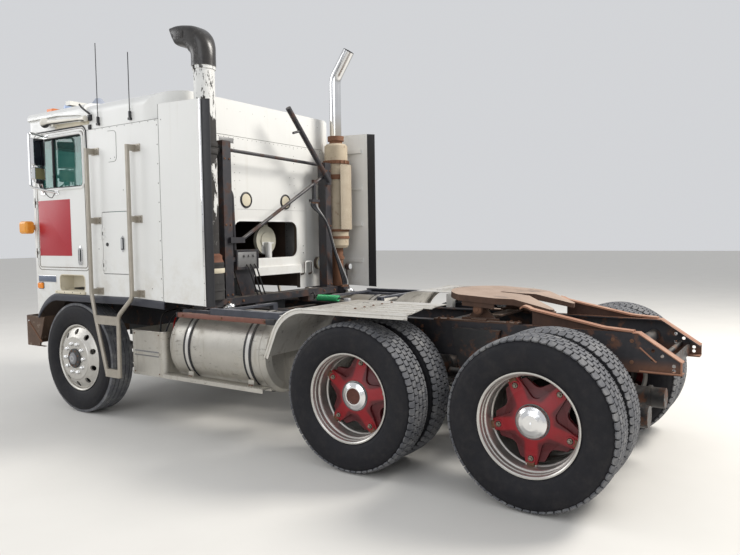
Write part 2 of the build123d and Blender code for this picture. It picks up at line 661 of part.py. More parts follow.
def stack_frame():
    """The rack behind the cab: posts on a cross channel, the top tube, the braces and the hose bar."""
    low, top = STACK_BASE
    base = block((-1055, 1055), (1530, 1670), STACK_BASE)
    for side in (1, -1):
        x = sorted((side * (RAIL_X - FLANGE_W), side * RAIL_X))
        base += block(x, (1540, 1660), (RAIL_TOP, low))
    left = block((POST_X - POST_W / 2, POST_X + POST_W / 2), (1545, 1645), (top, 2538))
    right = block((-POST_X - POST_W / 2, -POST_X + POST_W / 2), (1545, 1645), (top, 2465))
    rack = base + left + right
    rack += rod((-POST_X, 1590, 2440), (POST_X, 1590, 2470), 16)
    rack += rod((-650, 1655, 2322), (590, 1655, 1666), 17) + block((560, POST_X), (1600, 1672),
                                                                   (1640, 1690))
    rack += block((-700, -640), (1640, 1675), (2290, 2350))
    rack += rod((-690, 1690, 2260), (-53, 1690, 2932), 27) + block((-720, -660), (1640, 1700),
                                                                   (2230, 2300))
    rack += rod((-240, 1690, 2735), (-120, 1690, 2700), 12)
    rack += rack_box() + hose_holder()
    return rack


def rack_box():
    """The control box on the left of the rack, its leaning gusset and the bent pipe that drops into it."""
    low = STACK_BASE[1]
    box = block((325, 610), (1490, 1612), (1396, 1576)) - block((340, 595), (1606, 1620), (1411, 1561))
    gusset = Polygon((338, low - 2), (500, low - 2), (596, 1400), (330, 1400), align=None)
    box += front_plate(gusset, (1548, 1562))
    box += block((600, POST_X - POST_W / 2 + 2), (1560, 1600), (1470, 1510))
    return box + pipe([(POST_X - 40, 1590, 2150), (602, 1556, 2076), (580, 1550, 1574)], 22, 70)


def hose_holder():
    """The arm that carries the hoses' upper ends, and the block on the base that takes their lower ends."""
    arm = block((-490, -460), (1640, 1672), (2040, 2270)) + block((-500, -380), (1662, 1712),
                                                                  (2040, 2066))
    return arm + block((-960, -850), (1668, 1745), (1090, 1140)) + lamp_stalk()


def lamp_stalk():
    """The round work lamp on a stalk at the right end of the rack."""
    stalk = rod((-1045, 1650, STACK_BASE[1] - 2), (-1045, 1650, 1352), 9)
    return stalk + rod((-1076, 1622, 1352), (-1076, 1676, 1352), 36)


def air_hoses():
    """The air hoses from their holder down to the block on the rack's base."""
    hoses = []
    for k in range(4):
        x, sag = -400 - 26 * k, 14 * k
        end_x = -866 - 26 * k
        route = [(x, 1692, 2040), (x, 1692, 1990), (-590 - sag, 1706, 1850 - sag),
                 (-715 - sag, 1716, 1560 - sag), (end_x, 1718, 1220), (end_x, 1718, 1140)]
        hoses.append(pipe(route, 10, soft_bends(route)))
    x, z = -RAIL_X + FLANGE_W / 2, RAIL_TOP + COIL_R + SEAT
    coil = rod((x, 1745, z), (x, 2020, z), COIL_R)
    coil += pipe([(x, 1750, z), (x, 1714, z), (x, 1700, z + 42), (x, 1670, z + 42)], 8, 16)
    coil += pipe([(x, 2015, z), (x, 2065, z), (x + 20, 2110, z - 14)], 8, 40)
    coil += block((x - 5, x + 40), (2100, 2160), (RAIL_TOP + SEAT, RAIL_TOP + 42))
    return group([*hoses, coil])


def intake_stack():
    """The intake: canister, flaking pipe, collar and the forward-facing hood."""
    y, x = STACK_Y, INTAKE_X
    low = STACK_BASE[1]
    body = upright([(0, low), (125, low), (125, 1480), (112, 1505), (112, 1535), (INTAKE_R, 1550),
                    (INTAKE_R, 3110), (INTAKE_R + 8, 3112), (INTAKE_R + 8, 3170), (0, 3170)], (x, y, 0))
    hood = pipe([(x, y, 3165), (x, y, 3345), (x, 1262, 3455)], 112, 130)
    hood -= pipe([(x, y, 3175), (x, y, 3345), (x, 1200, 3475)], 100, 130)
    clamp = upright(ring_profile(0, INTAKE_R + 8, 2400, 2440), (x, y, 0))
    clamp += upright(ring_profile(0, INTAKE_R + 8, 2462, 2500), (x, y, 0))
    clamp += upright(ring_profile(0, 131, 1385, 1425), (x, y, 0))
    tie = block((POST_X, x), (y - 20, y + 20), (2430, 2470))
    return (body + hood + clamp + tie) - block((POST_X - POST_W / 2, POST_X + POST_W / 2), (1545, 1645),
                                               (1100, 2538))


def exhaust_stack():
    """The muffler with its clamps and heat shield, and the bright stack bent to the rear."""
    y, x = STACK_Y, EXHAUST_X
    low = STACK_BASE[1]
    can = upright([(0, 1560), (MUFFLER_R - 20, 1560), (MUFFLER_R, 1590), (MUFFLER_R, 2660),
                   (MUFFLER_R - 20, 2680), (70, 2690), (70, 2750), (0, 2750)], (x, y, 0))
    inlet = rod((x, y, low), (x, y, 1560), 62)
    stack = pipe([(x, y, 2750), (x, y, 3380), (x, y + 190, 3650)], EXHAUST_R, 200)
    stack -= pipe([(x, y, 2800), (x, y, 3380), (x, y + 212, 3681)], EXHAUST_R - 3, 200)
    tie = block((x, -POST_X - POST_W / 2), (y - 20, y + 20), (2380, 2420))
    outlet = upright(ring_profile(60, 88, 2716, 2766), (x, y, 0))
    teeth, tooth_z = 18, (2466, 2502)
    for proud, low_z, high_z in ((12, 2300, 2350), (10, *tooth_z), (9, 1662, 1688), (9, 1738, 1764)):
        outlet += upright(ring_profile(MUFFLER_R - 4, MUFFLER_R + proud, low_z, high_z), (x, y, 0))
    for k in range(teeth):
        tooth = block((MUFFLER_R + 6, MUFFLER_R + 18), (-9, 9), tooth_z)
        outlet += Pos(x, y, 0) * Rot(0, 0, 360 / teeth * k) * tooth
    outlet += upright(ring_profile(0, 74, 1436, 1470), (x, y, 0))
    return can + inlet + stack + tie + outlet + heat_shield()


def heat_shield():
    """The curved shield on the muffler's rear side, on four stand-offs."""
    y, x = STACK_Y, EXHAUST_X
    shield_r, span, z = MUFFLER_R + 38, (52, 140), (1760, 2455)
    ring = upright(ring_profile(shield_r - 3, shield_r, *z), (x, y, 0))
    reach = 2 * shield_r
    a, b = (radians(v) for v in span)
    wedge = plan_plate(Polygon((x, y), (x + reach * cos(a), y + reach * sin(a)), (x, y + reach),
                               (x + reach * cos(b), y + reach * sin(b)), align=None), z)
    shield = ring & wedge
    for angle in (66, 126):
        for height in (1850, 2340):
            foot = block((MUFFLER_R - 4, shield_r - 1), (-12, 12), (height, height + 30))
            shield += Pos(x, y, 0) * Rot(0, 0, angle) * foot
    return shield


# Fifth wheel

def fifth_base():
    """The fifth wheel's mount: angles on the rails, a cross plate and the two pivot stands."""
    y = FIFTH_Y
    base = None
    for side in (1, -1):
        angle = block((RAIL_X - 84, RAIL_X), (3520, 4200), (RAIL_TOP, RAIL_TOP + 12))
        web = block((RAIL_X - 60, RAIL_X - 46), (y - 150, y + 150), (RAIL_TOP + 12, RAIL_TOP + 30))
        stand = Polygon((y - 120, RAIL_TOP + 12), (y + 120, RAIL_TOP + 12), (y + 44, FIFTH_PIVOT_Z),
                        (y - 44, FIFTH_PIVOT_Z), align=None)
        ear = side_plate(stand, (340, 366)) + rod((340, y, FIFTH_PIVOT_Z), (366, y, FIFTH_PIVOT_Z), 44)
        ear -= rod((330, y, FIFTH_PIVOT_Z), (370, y, FIFTH_PIVOT_Z), PIVOT_PIN_R + FIT)
        half = angle + web + ear
        half = half if side == 1 else opposite(half)
        base = half if base is None else base + half
    base += block((-RAIL_X + 10, RAIL_X - 10), (y - 60, y + 60), (RAIL_TOP + 12, RAIL_TOP + 24))
    return base


def fifth_plate():
    """The coupling plate: a round-fronted horseshoe, its throat, pockets below and pins."""
    y, half = FIFTH_Y, FIFTH_HALF
    king = 3912
    nose = ThreePointArc((-half, FIFTH_SHOULDER), (0, FIFTH_FRONT), (half, FIFTH_SHOULDER))
    prong = [(half, FIFTH_SHOULDER), (half, 4030), (392, 4160), (296, FIFTH_BACK - 18),
             (272, FIFTH_BACK), (238, FIFTH_BACK), (214, FIFTH_BACK - 18), (64, 4135)]
    sides = Polyline(*prong, *[(-u, v) for u, v in reversed(prong)])
    face = make_face(nose + sides)
    throat = Polygon((-THROAT_R, king), (THROAT_R, king), (THROAT_R, 4040), (75, 4140), (-75, 4140),
                     (-THROAT_R, 4040), align=None)
    tall = plan_plate(face - throat - Pos(0, king) * Circle(THROAT_R), (FIFTH_TOP - 120, FIFTH_TOP + 5))
    low = FIFTH_TOP - FIFTH_T
    profile = Polygon((FIFTH_FRONT, low), (FIFTH_FRONT, FIFTH_TOP), (4150, FIFTH_TOP),
                      (FIFTH_BACK, FIFTH_TOP - 62), (FIFTH_BACK, FIFTH_TOP - 96), (4150, low),
                      align=None)
    plate = tall & side_plate(profile, (-half, half))
    for x in ((100, 205), (225, 330)):
        for pocket_y in ((3640, 3760), (3785, 3835), (3941, 4050)):
            pocket = block(x, pocket_y, (low - 1, FIFTH_TOP - 16))
            plate -= pair(pocket)
    for side in (1, -1):
        boss = rod((372, y, FIFTH_PIVOT_Z), (430, y, FIFTH_PIVOT_Z), 40)
        boss += block((372, 430), (y - 40, y + 40), (FIFTH_PIVOT_Z, FIFTH_TOP - 10))
        boss += rod((322, y, FIFTH_PIVOT_Z), (400, y, FIFTH_PIVOT_Z), PIVOT_PIN_R)
        plate += boss if side == 1 else opposite(boss)
    skirt = block((half - 24, half - 10), (FIFTH_SHOULDER + 30, 4020), (low - 36, low + 2))
    plate += skirt + opposite(skirt)
    turn = Pos(0, y, FIFTH_PIVOT_Z) * Rot(-FIFTH_REST, 0, 0) * Pos(0, -y, -FIFTH_PIVOT_Z)
    return turn * plate


# Cab

def cab_volume(inset, low):
    """The cab's whole volume inside its skin by the inset, from a low height up to the roof."""
    y0, y1 = CAB_Y[0] + inset, CAB_Y[1] - inset
    half = CAB_X - inset
    plan = Pos(0, (y0 + y1) / 2) * Rectangle(2 * half, y1 - y0)
    back = [v for v in plan.vertices() if v.Y > 0]
    plan = fillet(back, BACK_CORNER_R - inset)
    front = [v for v in plan.vertices() if v.Y < y0 + 1]
    plan = fillet(front, FRONT_CORNER_R - inset)
    tower = plan_plate(plan, (low, 3100))
    crown = Pos(0, CROWN - inset - CROWN_R) * Circle(CROWN_R)
    section = Pos(0, (low + 3100) / 2) * Rectangle(2 * half, 3100 - low) & crown
    top = [v for v in section.vertices() if v.Y > low + 10]
    section = fillet(top, SHOULDER_R - inset)
    arch = front_plate(section, (CAB_Y[0] - 10, CAB_Y[1] + 10))
    line = [(CAB_Y[1] + 10, 57), (900, 18), (490, 12), (14, 0), (-400, 0), (-560, 22),
            (CAB_Y[0] - 10, 80)]
    roofline = Polygon((CAB_Y[0] - 10, low - 5), (CAB_Y[1] + 10, low - 5),
                       *[(y, CROWN - drop - inset) for y, drop in line], align=None)
    return tower & arch & side_plate(roofline, (-CAB_CLEAR_X, CAB_CLEAR_X))


def side_lower_edge():
    """What lies below the cab side's lower edge: the wheel arch and the sill line behind it."""
    a, b = (-611, FRONT_LOW - 3), (-286, 1158)
    arc = ThreePointArc(a, (-482, 1065), b)
    line = Polyline(b, (870, 1165), (SKIN_END + 10, 1146), (SKIN_END + 10, 700), (CAB_Y[0] - 20, 700),
                    (CAB_Y[0] - 20, FRONT_LOW - 3), a)
    return make_face(arc + line)


def cab_panels():
    """The cab's skin, split where the real panels meet."""
    shell = cab_volume(0, FRONT_LOW - 3) - cab_volume(WALL, FRONT_LOW - 50)
    front_y = CAB_Y[0] + FRONT_CORNER_R
    back_y = SKIN_END
    far = CAB_X + 196
    above = block((-far, far), (-far, back_y), (ROOF_SEAM, 3200))
    above += block((-far, far), (back_y, 2000), (BACK_SEAM, 3200))
    below = block((-far, far), (-far, back_y), (600, ROOF_SEAM))
    below += block((-far, far), (back_y, 2000), (600, BACK_SEAM))
    roof = shell & above
    walls = shell & below
    front = walls & block((-far, far), (-far, front_y), (600, 3200))
    back = walls & block((-far, far), (back_y, 2000), (600, 3200))
    side = walls & block((0, far), (front_y, back_y), (600, 3200))
    side += block((CAB_X - SKIN_T, CAB_X), (CAB_Y[1] - BACK_CORNER_R - 5, SKIN_END),
                  (1100, ROOF_SEAM)) - roof
    return front, side, back, roof


def visor_block():
    """The roof's left front with its moulding, as one block."""
    lower = ROOF_SEAM + 175
    face = Polygon((CAB_Y[0] - 40, lower), (CAB_Y[0] - 40, CROWN + 60), (232, CROWN + 60), (293, 2905),
                   (415, 2831), (388, 2801), (250, 2842), (-120, lower), align=None)
    return cab_volume(-VISOR_T, ROOF_SEAM) & side_plate(face, (CAB_X - 300, CAB_X + 60))


def visor():
    """The raised moulding round the left front of the roof, above the door."""
    return visor_block() - cab_volume(-SEAT, ROOF_SEAM - 50)


def door_face(gap):
    """The door's outline, smaller than its opening by the gap."""
    return rounded((DOOR_Y[0] + gap, DOOR_Y[1] - gap), (DOOR_Z[0] + gap, DOOR_Z[1] - gap), 60)


def cab_side(side):
    """The left side panel, with its door, step and luggage openings."""
    reach = (CAB_X - WALL - 5, CAB_X + 5)
    side -= side_plate(side_lower_edge(), (CAB_X - 204, CAB_CLEAR_X))
    side -= side_plate(door_face(0), reach)
    side -= side_plate(rounded(LUGGAGE_Y, LUGGAGE_Z, 12), reach)
    side -= side_plate(rounded(STEP_Y, STEP_Z, 40), reach)
    depth = CAB_X - STEP_DEPTH
    pocket = block((depth, CAB_X - WALL), (STEP_Y[0] - 6, STEP_Y[1] + 6),
                   (STEP_Z[0] - 1, STEP_Z[1] + 6))
    pocket -= block((depth + 6, CAB_X), STEP_Y, (STEP_Z[0] + 5, STEP_Z[1]))
    side += hinge(DOOR_HINGE_Y, DOOR_HINGE_Z, False) + hinge(LUGGAGE_HINGE_Y, LUGGAGE_HINGE_Z, False)
    return side + pocket


def cab_front(front):
    """The front wall: two screen openings with a post between them, and the grille's opening."""
    inside = CAB_Y[0] + WALL
    deep = (CAB_Y[0] - 20, inside + 5)
    for side in (1, -1):
        low, high = sorted((side * SCREEN_X[0], side * SCREEN_X[1]))
        front -= front_plate(rounded((low, high), SCREEN_Z, 60), deep)
    front -= front_plate(rounded((-GRILLE_X, GRILLE_X), GRILLE_Z, 30), deep)
    y, z = TILT_PIVOT
    for side in (1, -1):
        face = Polygon((CAB_Y[0] + 2, FRONT_LOW), (inside, FRONT_LOW), (inside, 1010),
                       (inside + 40, 1010), (inside + 40, 905), (y + 30, z - 8), (y - 20, z - 30),
                       (y - 38, z + 10), (y - 5, z + 42), (CAB_Y[0] - 4, 912), align=None)
        arm = side_plate(face, (RAIL_X - 104, RAIL_X - 66))
        arm -= rod((300, y, z), (420, y, z), PIVOT_R + FIT)
        front += arm if side == 1 else opposite(arm)
    return front


def cab_back(back):
    """The rear wall with rounded corners, the engine hatch and the folded sill below it."""
    deep = (CAB_Y[1] - WALL - 5, CAB_Y[1] + 5)
    back -= front_plate(rounded((-HATCH_X, HATCH_X), HATCH_Z, 100), deep)
    back -= block((-TUNNEL_X, TUNNEL_X), deep, (600, 1312))
    back -= block((-CAB_CLEAR_X, CAB_CLEAR_X), (1000, 1500), (600, 1150))
    fold = Polygon((CAB_Y[1], 1475), (CAB_Y[1] + 12, 1475), (CAB_Y[1] + 12, 1400),
                   (CAB_Y[1] + 34, 1392), (CAB_Y[1] + 34, 1312), (CAB_Y[1], 1312), align=None)
    back += side_plate(fold, (-TUNNEL_X + 10, TUNNEL_X - 10))
    lamp_x, lamp_z = -800, 1400
    back += rod((lamp_x, CAB_Y[1] - 5, lamp_z), (lamp_x, CAB_Y[1] + 42, lamp_z), 68)
    back += rod((lamp_x, CAB_Y[1] + 40, lamp_z), (lamp_x, CAB_Y[1] + 56, lamp_z), 75)
    behind = CAB_Y[1] + 52
    loop = [(-520, CAB_Y[1] - 5, 1290), (-520, behind, 1300), (-525, behind, 1425),
            (-640, behind, 1425), (-645, behind, 1300), (-645, CAB_Y[1] - 5, 1290)]
    return back + pipe(loop, 10, 22)


def hatch_filter():
    """The round cleaner and the small filter that show through the engine hatch, hung from the tunnel."""
    x, z = -150, 1655
    disc = rod((x, 1240, z), (x, 1280, z), 145) + rod((x, 1278, z), (x, 1290, z), 82)
    disc += block((x - 30, x + 30), (1244, 1276), (z + 130, TUNNEL_TOP + 2))
    disc += block((x - 40, x + 40), (1276, 1345), (1622, 1636))
    return disc + rod((x + 12, 1318, 1482), (x + 12, 1318, 1626), 34)


def cab_floor():
    """The floor on each side of the engine tunnel, and the tunnel itself."""
    x, y = (TUNNEL_X, CAB_X - WALL), (CAB_Y[0] + WALL, CAB_Y[1] - WALL)
    z = (1190 - FLOOR_T, 1190)
    low, top = z[0], TUNNEL_TOP + TUNNEL_T
    wall = block((TUNNEL_X, TUNNEL_X + TUNNEL_T), (CAB_Y[0] + WALL, CAB_Y[1] - WALL), (low, top))
    pan = block(x, y, z)
    pan -= block((CAB_X - STEP_DEPTH - 2, CAB_CLEAR_X), (STEP_Y[0] - 8, STEP_Y[1] + 8), (1180, 1300))
    cover = block((-TUNNEL_X - TUNNEL_T, TUNNEL_X + TUNNEL_T), (CAB_Y[0] + WALL, CAB_Y[1] - WALL),
                  (TUNNEL_TOP, top))
    half = wall + pan
    return ((half + cover + opposite(half)) & cab_volume(WALL, 1100)) + hatch_filter()


def hinge(y, heights, moving):
    """Hinge leaves and barrels at a left door's front edge: the outer pair, or the middle."""
    x, leaf_w, leaf_t, half = CAB_X + HINGE_OUT, 42, 6, HINGE_HALF
    parts = None
    for z in heights:
        if moving:
            spans = ((z - half, z - half / 3 - SEAT), (z + half / 3 + SEAT, z + half))
            leaf_y = (y, y + leaf_w)
        else:
            spans = ((z - half / 3, z + half / 3),)
            leaf_y = (y - leaf_w, y)
        for low, high in spans:
            piece = block((CAB_X, CAB_X + leaf_t), leaf_y, (low, high))
            piece += rod((x, y, low), (x, y, high), HINGE_OUT)
            parts = piece if parts is None else parts + piece
    return parts


def doors():
    """The left door with its window opening, pull handle and hinge leaves."""
    door = side_plate(door_face(PANEL_GAP), (CAB_X - WALL, CAB_X))
    door += hinge(DOOR_HINGE_Y, DOOR_HINGE_Z, True)
    door -= side_plate(rounded(WINDOW_Y, WINDOW_Z, 40), (CAB_X - WALL - 1, CAB_X + 1))
    grip = side_plate(rounded((128, 188), (1445, 1612), 29), (CAB_X, CAB_X + 12))
    grip -= side_plate(rounded((138, 178), (1478, 1600), 18), (CAB_X + 4, CAB_X + 20))
    grip += side_plate(rounded((149, 167), (1476, 1602), 8), (CAB_X + 3, CAB_X + 16))
    return door + grip


def luggage_door():
    """The left luggage door, with its latch plate."""
    gap = PANEL_GAP
    face = rounded((LUGGAGE_Y[0] + gap, LUGGAGE_Y[1] - gap), (LUGGAGE_Z[0] + gap, LUGGAGE_Z[1] - gap),
                   10)
    door = side_plate(face, (CAB_X - WALL, CAB_X)) + hinge(LUGGAGE_HINGE_Y, LUGGAGE_HINGE_Z, True)
    latch = outline([(772, 1600), (772, 1690), (800, 1722), (828, 1690), (828, 1600), (800, 1568)], 6)
    lever = side_plate(rounded((790, 810), (1600, 1694), 9), (CAB_X + 5, CAB_X + 15))
    lock = rod((CAB_X - 5, 575, 1640), (CAB_X + 6, 575, 1640), 17)
    return door + side_plate(latch, (CAB_X, CAB_X + 7)) + lever + lock


def glass(y, z, radius):
    """A pane for the left door's window."""
    face = rounded((y[0] + SEAT, y[1] - SEAT), (z[0] + SEAT, z[1] - SEAT), radius)
    return side_plate(face, (CAB_X - 30, CAB_X - 30 + GLASS_T))


def windshield():
    """The two flat panes in the front wall."""
    face = rounded((SCREEN_X[0] + SEAT, SCREEN_X[1] - SEAT), (SCREEN_Z[0] + SEAT, SCREEN_Z[1] - SEAT),
                   60)
    return pair(front_plate(face, (CAB_Y[0] + 15, CAB_Y[0] + 15 + GLASS_T)))


def grille():
    """The grille: a bright frame with upright bars."""
    y = (CAB_Y[0] - 12, CAB_Y[0] + 20)
    u, v = (-GRILLE_X + 1, GRILLE_X - 1), (GRILLE_Z[0] + 1, GRILLE_Z[1] - 1)
    frame = front_plate(rounded(u, v, 29) - rounded((u[0] + 34, u[1] - 34), (v[0] + 34, v[1] - 34), 12),
                        y)
    bars = 17
    pitch = (u[1] - u[0] - 68) / (bars + 1)
    for k in range(bars):
        x = u[0] + 34 + pitch * (k + 1)
        frame += block((x - 9, x + 9), (y[0] + 4, y[1] - 6), (v[0] + 30, v[1] - 30))
    return frame


def front_lamps():
    """Twin rectangular headlamps in bright bezels, and the corner turn lamps on their brackets."""
    y = CAB_Y[0]
    u, v = (600, 1040), (1030, 1215)
    lamp = front_plate(rounded(u, v, 24), (y - 22, y))
    for x in ((618, 812), (828, 1022)):
        lamp -= front_plate(rounded(x, (1048, 1197), 16), (y - 24, y - 10))
    turn = Pos(CAB_X + 64, -640, 1816) * Box(96, 140, 126)
    turn = fillet(turn.edges(), 28)
    turn += block((CAB_X - 8, CAB_X + 36), (-630, -606), (1790, 1842)) - cab_volume(0, 1000)
    return group([lamp, opposite(lamp), turn, opposite(turn)])


def side_extenders():
    """The side extenders behind the cab: a skin, its rubber edge's stiffener and battens inside."""
    z0, z1 = EXTENDER_Z
    skin = side_plate(Polygon((SKIN_END, 1146), (SKIN_END, z1 - 10), (EXTENDER_END, z1 - 26),
                              (EXTENDER_END, z0 - 4), align=None), (CAB_X - SKIN_T, CAB_X))
    for z in (1400, 1800, 2200, 2600):
        skin += block((CAB_X - SKIN_T - 24, CAB_X - SKIN_T), (SKIN_END + 40, EXTENDER_END - 70),
                      (z, z + 40))
    skin -= cab_volume(0, 1100)
    return pair(skin)


def ladders():
    """The grab rails beside the luggage door, running down as the legs of the entry steps."""
    x, r = LADDER_X, LADDER_R
    front = pipe([(x, 415, 2516), (x, 415, 1195), (x, 465, 985), (x, 617, 445)], r, 90)
    rear = pipe([(x, 1000, 2503), (x, 1000, 1170), (x, 797, 1000), (x, 790, 445)], r, 90)
    body = front + rear
    body += block((x - 14, x + 14), (470, 805), (916, 995))
    body += block((x - 14, x + 14), (600, 795), (440, 515))
    for y, heights in ((415, (1210, 1860, 2490)), (1000, (1205, 1860, 2478))):
        for z in heights:
            body += block((CAB_X, x), (y - 22, y + 22), (z - 25, z + 25))
            body += block((CAB_X, CAB_X + 8), (y - 22, y + 80), (z - 32, z + 32))
    return pair(body)


def mirror_head():
    """The left mirror: two heads turned to the driver, in a bright loop with arms."""
    x, y, z = MIRROR
    turn = Pos(x, y, 0) * Rot(0, 0, 22)
    head = None
    for width, height, up in ((MIRROR_W, 262, 68), (MIRROR_W - 14, 120, -137)):
        shell = Pos(0, 0, z + up) * Box(width, 36, height)
        shell = fillet(shell.edges().filter_by(Axis.Y), 16)
        shell -= Pos(0, 18, z + up) * Box(width - 14, 8, height - 14)
        head = shell if head is None else head + shell
    head = turn * (head + Pos(0, 0, z - 70) * Box(34, 22, 40))
    bar_x, low, high = x + 84, z - 268, z + 250
    loop = pipe([(CAB_X + 6, -330, 2692), (bar_x, y, high), (bar_x, y, low), (CAB_X + 6, -190, 2146)],
                11, 30)
    for reach in (-130, 130):
        loop += rod((x + 10, y, z + reach), (bar_x, y, z + reach), 8)
    loop += rod((bar_x - 30, y, low + 50), (bar_x - 30, y, high - 50), 8)
    stay = pipe([(CAB_X + 6, -420, 2150), (x - 40, y - 20, z - 232), (x - 10, y, z - 190)], 7, 16)
    pads = block((CAB_X, CAB_X + 12), (-372, -290), (2678, 2706))
    pads += block((CAB_X, CAB_X + 10), (-225, -155), (2128, 2164))
    pads += block((CAB_X, CAB_X + 10), (-450, -390), (2132, 2168))
    return head + loop + stay + pads


def seats():
    """The two seats, and the bunk behind them on its lockers."""
    seat = block((620, 980), (180, 560), (1190, 1500))
    seat += block((560, 1040), (90, 600), (1500, 1640))
    back = side_plate(outline([(560, 1600), (690, 1600), (760, 2330), (650, 2330)], 30), (570, 1030))
    bunk_top = TUNNEL_TOP + TUNNEL_T
    bunk_x = CAB_X - WALL - 19
    bunk = plan_plate(rounded((-bunk_x, bunk_x), (790, CAB_Y[1] - WALL - 20), 60),
                      (bunk_top + SEAT, bunk_top + 110))
    for side in (1, -1):
        x = sorted((side * (TUNNEL_X + TUNNEL_T + 2), side * (CAB_X - WALL - 20)))
        bunk += block(x, (800, CAB_Y[1] - WALL - 60), (1190 + SEAT, bunk_top + 2)) - cab_shelf(side)
    return group([*pair(seat + back).solids(), bunk & cab_volume(WALL + 2, 1100)])


def cab_shelf(side):
    """The locker behind a luggage door, open to it, under one side of the bunk."""
    x = sorted((side * (TUNNEL_X + TUNNEL_T + 30), side * CAB_X))
    return block(x, (LUGGAGE_Y[0], 1290), (1210, TUNNEL_TOP - 20))


def dashboard():
    """The dash across the cab, with the binnacle and the column in front of the driver."""
    face = Polygon((CAB_Y[0] + WALL, 1880), (CAB_Y[0] + WALL, 1950), (-520, 1950), (-330, 1900),
                   (-330, 1700), (-420, 1600), (CAB_Y[0] + WALL, 1600), align=None)
    dash = side_plate(face, (TUNNEL_X + TUNNEL_T, CAB_X - WALL - 20))
    dash += side_plate(Polygon((CAB_Y[0] + WALL, TUNNEL_TOP + TUNNEL_T), (CAB_Y[0] + WALL, 1950),
                               (-520, 1950), (-330, 1900), (-330, TUNNEL_TOP + TUNNEL_T), align=None),
                       (0, TUNNEL_X + TUNNEL_T))
    return (dash + opposite(dash)) & cab_volume(WALL, 1100)


def steering_wheel():
    """The steering wheel, its spokes and column."""
    tilt = 28
    rim_r, section_r = 255, 15
    wheel = Torus(rim_r, section_r)
    for a in (90, 210, 330):
        wheel += Rot(0, 0, a) * Pos(rim_r / 2, 0, 0) * Box(rim_r, 26, 10)
    wheel += Cylinder(48, 40)
    x, y, z, floor = 800, -70, 2010, 1190
    wheel = Pos(x, y, z) * Rot(-tilt, 0, 0) * wheel
    reach = (z - floor + 40) / cos(radians(tilt))
    column = rod((x, y, z), (x, y - reach * sin(radians(tilt)), floor - 40), 30)
    return wheel + (column - block((x - 100, x + 100), (-900, 0), (floor - 200, floor)))


def roof_height(x):
    """The roof's height over the cab's front half at a distance from the middle."""
    return CROWN - x * x / (2 * CROWN_R)


def roof_fittings():
    """The horn and drip strip over the left door, the roof's lamps, light bars, cone and whip aerials."""
    horn_x, z, dip = CAB_X + 50, 2805, 2.3
    cab = cab_volume(0, 1000) + visor_block() + opposite(visor_block())
    horn = spun([(-330, 0), (-330, 48), (-312, 46), (-250, 23), (240, 14), (331, 27), (331, 0)],
                (0, 0, 0))
    horn = Pos(horn_x, 54, z) * Rot(-dip, 0, 0) * horn
    for y in (-147, 300):
        horn += block((CAB_X - 40, horn_x), (y - 12, y + 12), (z - 34, z - 6))
    items = [horn - cab]
    for x in (-1030, -520, 0, 520, 1030):
        lamp = Pos(x, -450, roof_height(x) + 12) * Box(120, 130, 66)
        items.append(fillet(lamp.edges().filter_by(Axis.Z), 24) - cab)
    for side in (1, -1):
        x = side * 960
        top = roof_height(x)
        dome = upright([(0, top - 20), (62, top - 20), (62, top + 40), (56, top + 64), (40, top + 84),
                        (0, top + 92)], (x, -300, 0))
        items.append(dome - cab)
        bar_z = roof_height(640)
        bar = block(sorted((side * 640, side * 1090)), (-170, -100), (bar_z + 6, bar_z + 46))
        for u in (700, 1030):
            foot_x = sorted((side * (u - 12), side * (u + 12)))
            bar += block(foot_x, (-150, -120), (roof_height(u) - 10, bar_z + 20))
        items.append(bar - cab)
    cone_x, cone_y = 900, 85
    top = roof_height(cone_x)
    cone = upright([(0, top - 20), (90, top - 20), (86, top + 20), (30, top + 96), (0, top + 104)],
                   (cone_x, cone_y, 0))
    items.append(cone - cab)
    for y, z0, z1 in ((518, 2727, 3452), (972, 2727, 3301)):
        whip_x = CAB_X + 14
        whip = rod((whip_x, y, z0), (whip_x, y, z0 + 70), 12) + rod((whip_x, y, z0), (whip_x, y, z1), 4)
        whip += block((CAB_X - 20, CAB_X + 26), (y - 14, y + 14), (z0 - 6, z0 + 14))
        items.append(whip - cab)
    return group(items)


